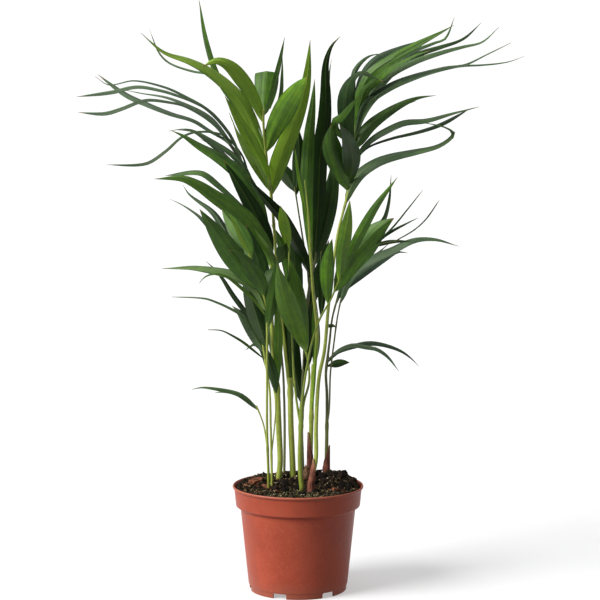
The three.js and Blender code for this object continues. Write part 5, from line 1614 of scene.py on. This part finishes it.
def make_soil():
    body = baked("soil_body", soil_mesh())
    settle(body, "soil", "soil", material=SOIL_SKIN)
    lumps = scatter_tree()
    for name, slot, material, values in SCATTERED:
        piece = baked(name, body.data.copy(), lumps, {"Material": material, **values})
        piece.data.shade_smooth()
        settle(piece, slot)


CHIPS = [  # where each lies, its size, and its turn about X, Y and Z
    ("bark_chip_left", (-39, 12), (14, 8, 4), (12, -8, 20)),
    ("bark_chip_front", (-34, -26), (9, 5, 3), (-10, 6, -35)),
    ("bark_chip_right", (34, -22), (10, 6, 3.4), (8, 14, 50)),
    ("bark_chip_back", (-12, 46), (11, 6, 4), (-6, 10, 75)),
]
CHIP_RISE = 0.25  # its middle lies above the soil by this share of its thickness
CHIP_OUTLINE = [
    (-0.5, -0.3), (-0.2, -0.5), (0.35, -0.42), (0.5, 0.05), (0.3, 0.5), (-0.25, 0.42), (-0.46, 0.2),
]
CHIP_CUTS = 11
CHIP_GRAIN = 0.35  # how far its splintered skin stands in or out
CHIP_FIBRE = (5, 1.1, 0.8)  # size of a splinter
CHIP_LUMP = 3.2


def make_chip(name, at, size, turn):
    """A splintered flake of bark: layered along its length and rough at its ends."""
    shape = bmesh.new()
    long, wide, thick = size
    low, high = (
        [shape.verts.new((u * long, v * wide, z)) for u, v in CHIP_OUTLINE]
        for z in (-thick / 2, thick / 2)
    )
    shape.faces.new(low[::-1])
    shape.faces.new(high)
    for n in range(len(low)):
        m = (n + 1) % len(low)
        shape.faces.new((low[n], low[m], high[m], high[n]))
    bmesh.ops.triangulate(shape, faces=shape.faces)
    bmesh.ops.subdivide_edges(shape, edges=shape.edges, cuts=CHIP_CUTS, use_grid_fill=True)
    for v in shape.verts:
        along, across, deep = (place / step for place, step in zip(v.co, CHIP_FIBRE))
        grain = noise.noise(Vector((along, across, deep + at[0])))
        lumps = noise.noise(v.co / CHIP_LUMP + Vector((at[1], 0, 0)))
        v.co += v.co.normalized() * (CHIP_GRAIN * grain + 2 * CHIP_GRAIN * lumps)
    place = Matrix.Translation((*at, soil_height(*at) + CHIP_RISE * thick))
    for axis, degrees in zip("ZYX", turn[::-1]):
        place = place @ Matrix.Rotation(math.radians(degrees), 4, axis)
    shape.transform(Matrix.Diagonal((MM, MM, MM, 1)) @ place)
    mesh = mesh_from(name, shape)
    mesh.shade_smooth()
    settle(baked(name + "_rough", mesh), "bark", name, material=BARK_SKIN)


# ---------------------------------------------------------------- floor, lights and camera

WHITE = (1, 1, 1, 1)
FLOOR_WIDE = 60  # metres: it reaches the horizon
FLOOR_GLOW = 0.4
ROOM_LIGHT = 0.16  # how bright the room is where it lights the plant
ROOM_SEEN = 0.89  # and how much brighter where it is seen
ROOM_MIRRORED = 0.2  # and where the plant mirrors it
VIEW_REACH = 200  # metres
LIGHTS = [  # strength, the way it shines, and its breadth in degrees
    ("key", 4.2, (1.2, 0.62, -0.85), 36),
    ("fill", 0.25, (-0.8, 0.6, -0.4), 60),
    ("top", 0.6, (0.1, -0.2, -1), 60),
]


def make_floor():
    material, tree, skin = new_material("pale_floor")
    patches = tree.span(tree.noise(tree.place(), 14.0, 4.0), 0.3, 0.7)
    tree.fill(skin, {
        "Base Color": tree.colours(patches, srgb(206, 206, 207), srgb(209, 209, 209)),
        "Roughness": 0.9,
        "Specular IOR Level": 0.1,
        "Emission Color": WHITE,
        "Emission Strength": FLOOR_GLOW,
    })
    half = FLOOR_WIDE / 2
    mesh = bpy.data.meshes.new("floor")
    corners = [(-half, -half, 0), (half, -half, 0), (half, half, 0), (-half, half, 0)]
    mesh.from_pydata(corners, [], [(0, 1, 2, 3)])
    mesh.materials.append(material)
    floor = placed("floor", mesh)
    floor.visible_diffuse = False


def make_light(name, strength, aim, breadth):
    """A distant soft light."""
    light = bpy.data.lights.new(name, "SUN")
    light.energy = strength
    light.angle = math.radians(breadth)
    placed(name, light).rotation_euler = Vector(aim).to_track_quat("-Z", "Y").to_euler()


def make_room():
    """A white room: bright where it is seen, and softer where it lights the plant."""
    room = bpy.data.worlds.new("white_room")
    room.use_nodes = True
    bpy.context.scene.world = room
    tree = Tree(room.node_tree)
    ray = tree.add("ShaderNodeLightPath")
    strength = tree.plus(tree.times(ray["Is Camera Ray"], ROOM_SEEN), ROOM_LIGHT)
    strength = tree.plus(strength, tree.times(ray["Is Glossy Ray"], ROOM_MIRRORED))
    background = room.node_tree.nodes["Background"].inputs
    tree.fill(background, {"Color": WHITE, "Strength": strength})


def make_camera():
    camera = bpy.data.cameras.new("camera")
    camera.sensor_width = SENSOR
    camera.lens = SENSOR * FOCAL_PIXELS / PICTURE_PIXELS
    camera.clip_end = VIEW_REACH
    holder = placed("camera", camera)
    holder.location = (EYE_SIDE * MM, -EYE_DISTANCE * MM, EYE_HEIGHT * MM)
    holder.rotation_euler = (math.radians(90 - EYE_PITCH), 0, 0)
    bpy.context.scene.camera = holder


# ---------------------------------------------------------------- the whole

PLANT = grow_plant()
make_pot()
make_soil()
for chip in CHIPS:
    make_chip(*chip)
make_stems(PLANT)
for husk in HUSKS:
    make_husk(PLANT, *husk)
make_bud()

make_floor()
make_room()
make_camera()
for light in LIGHTS:
    make_light(*light)
bpy.context.scene.view_settings.view_transform = "Standard"
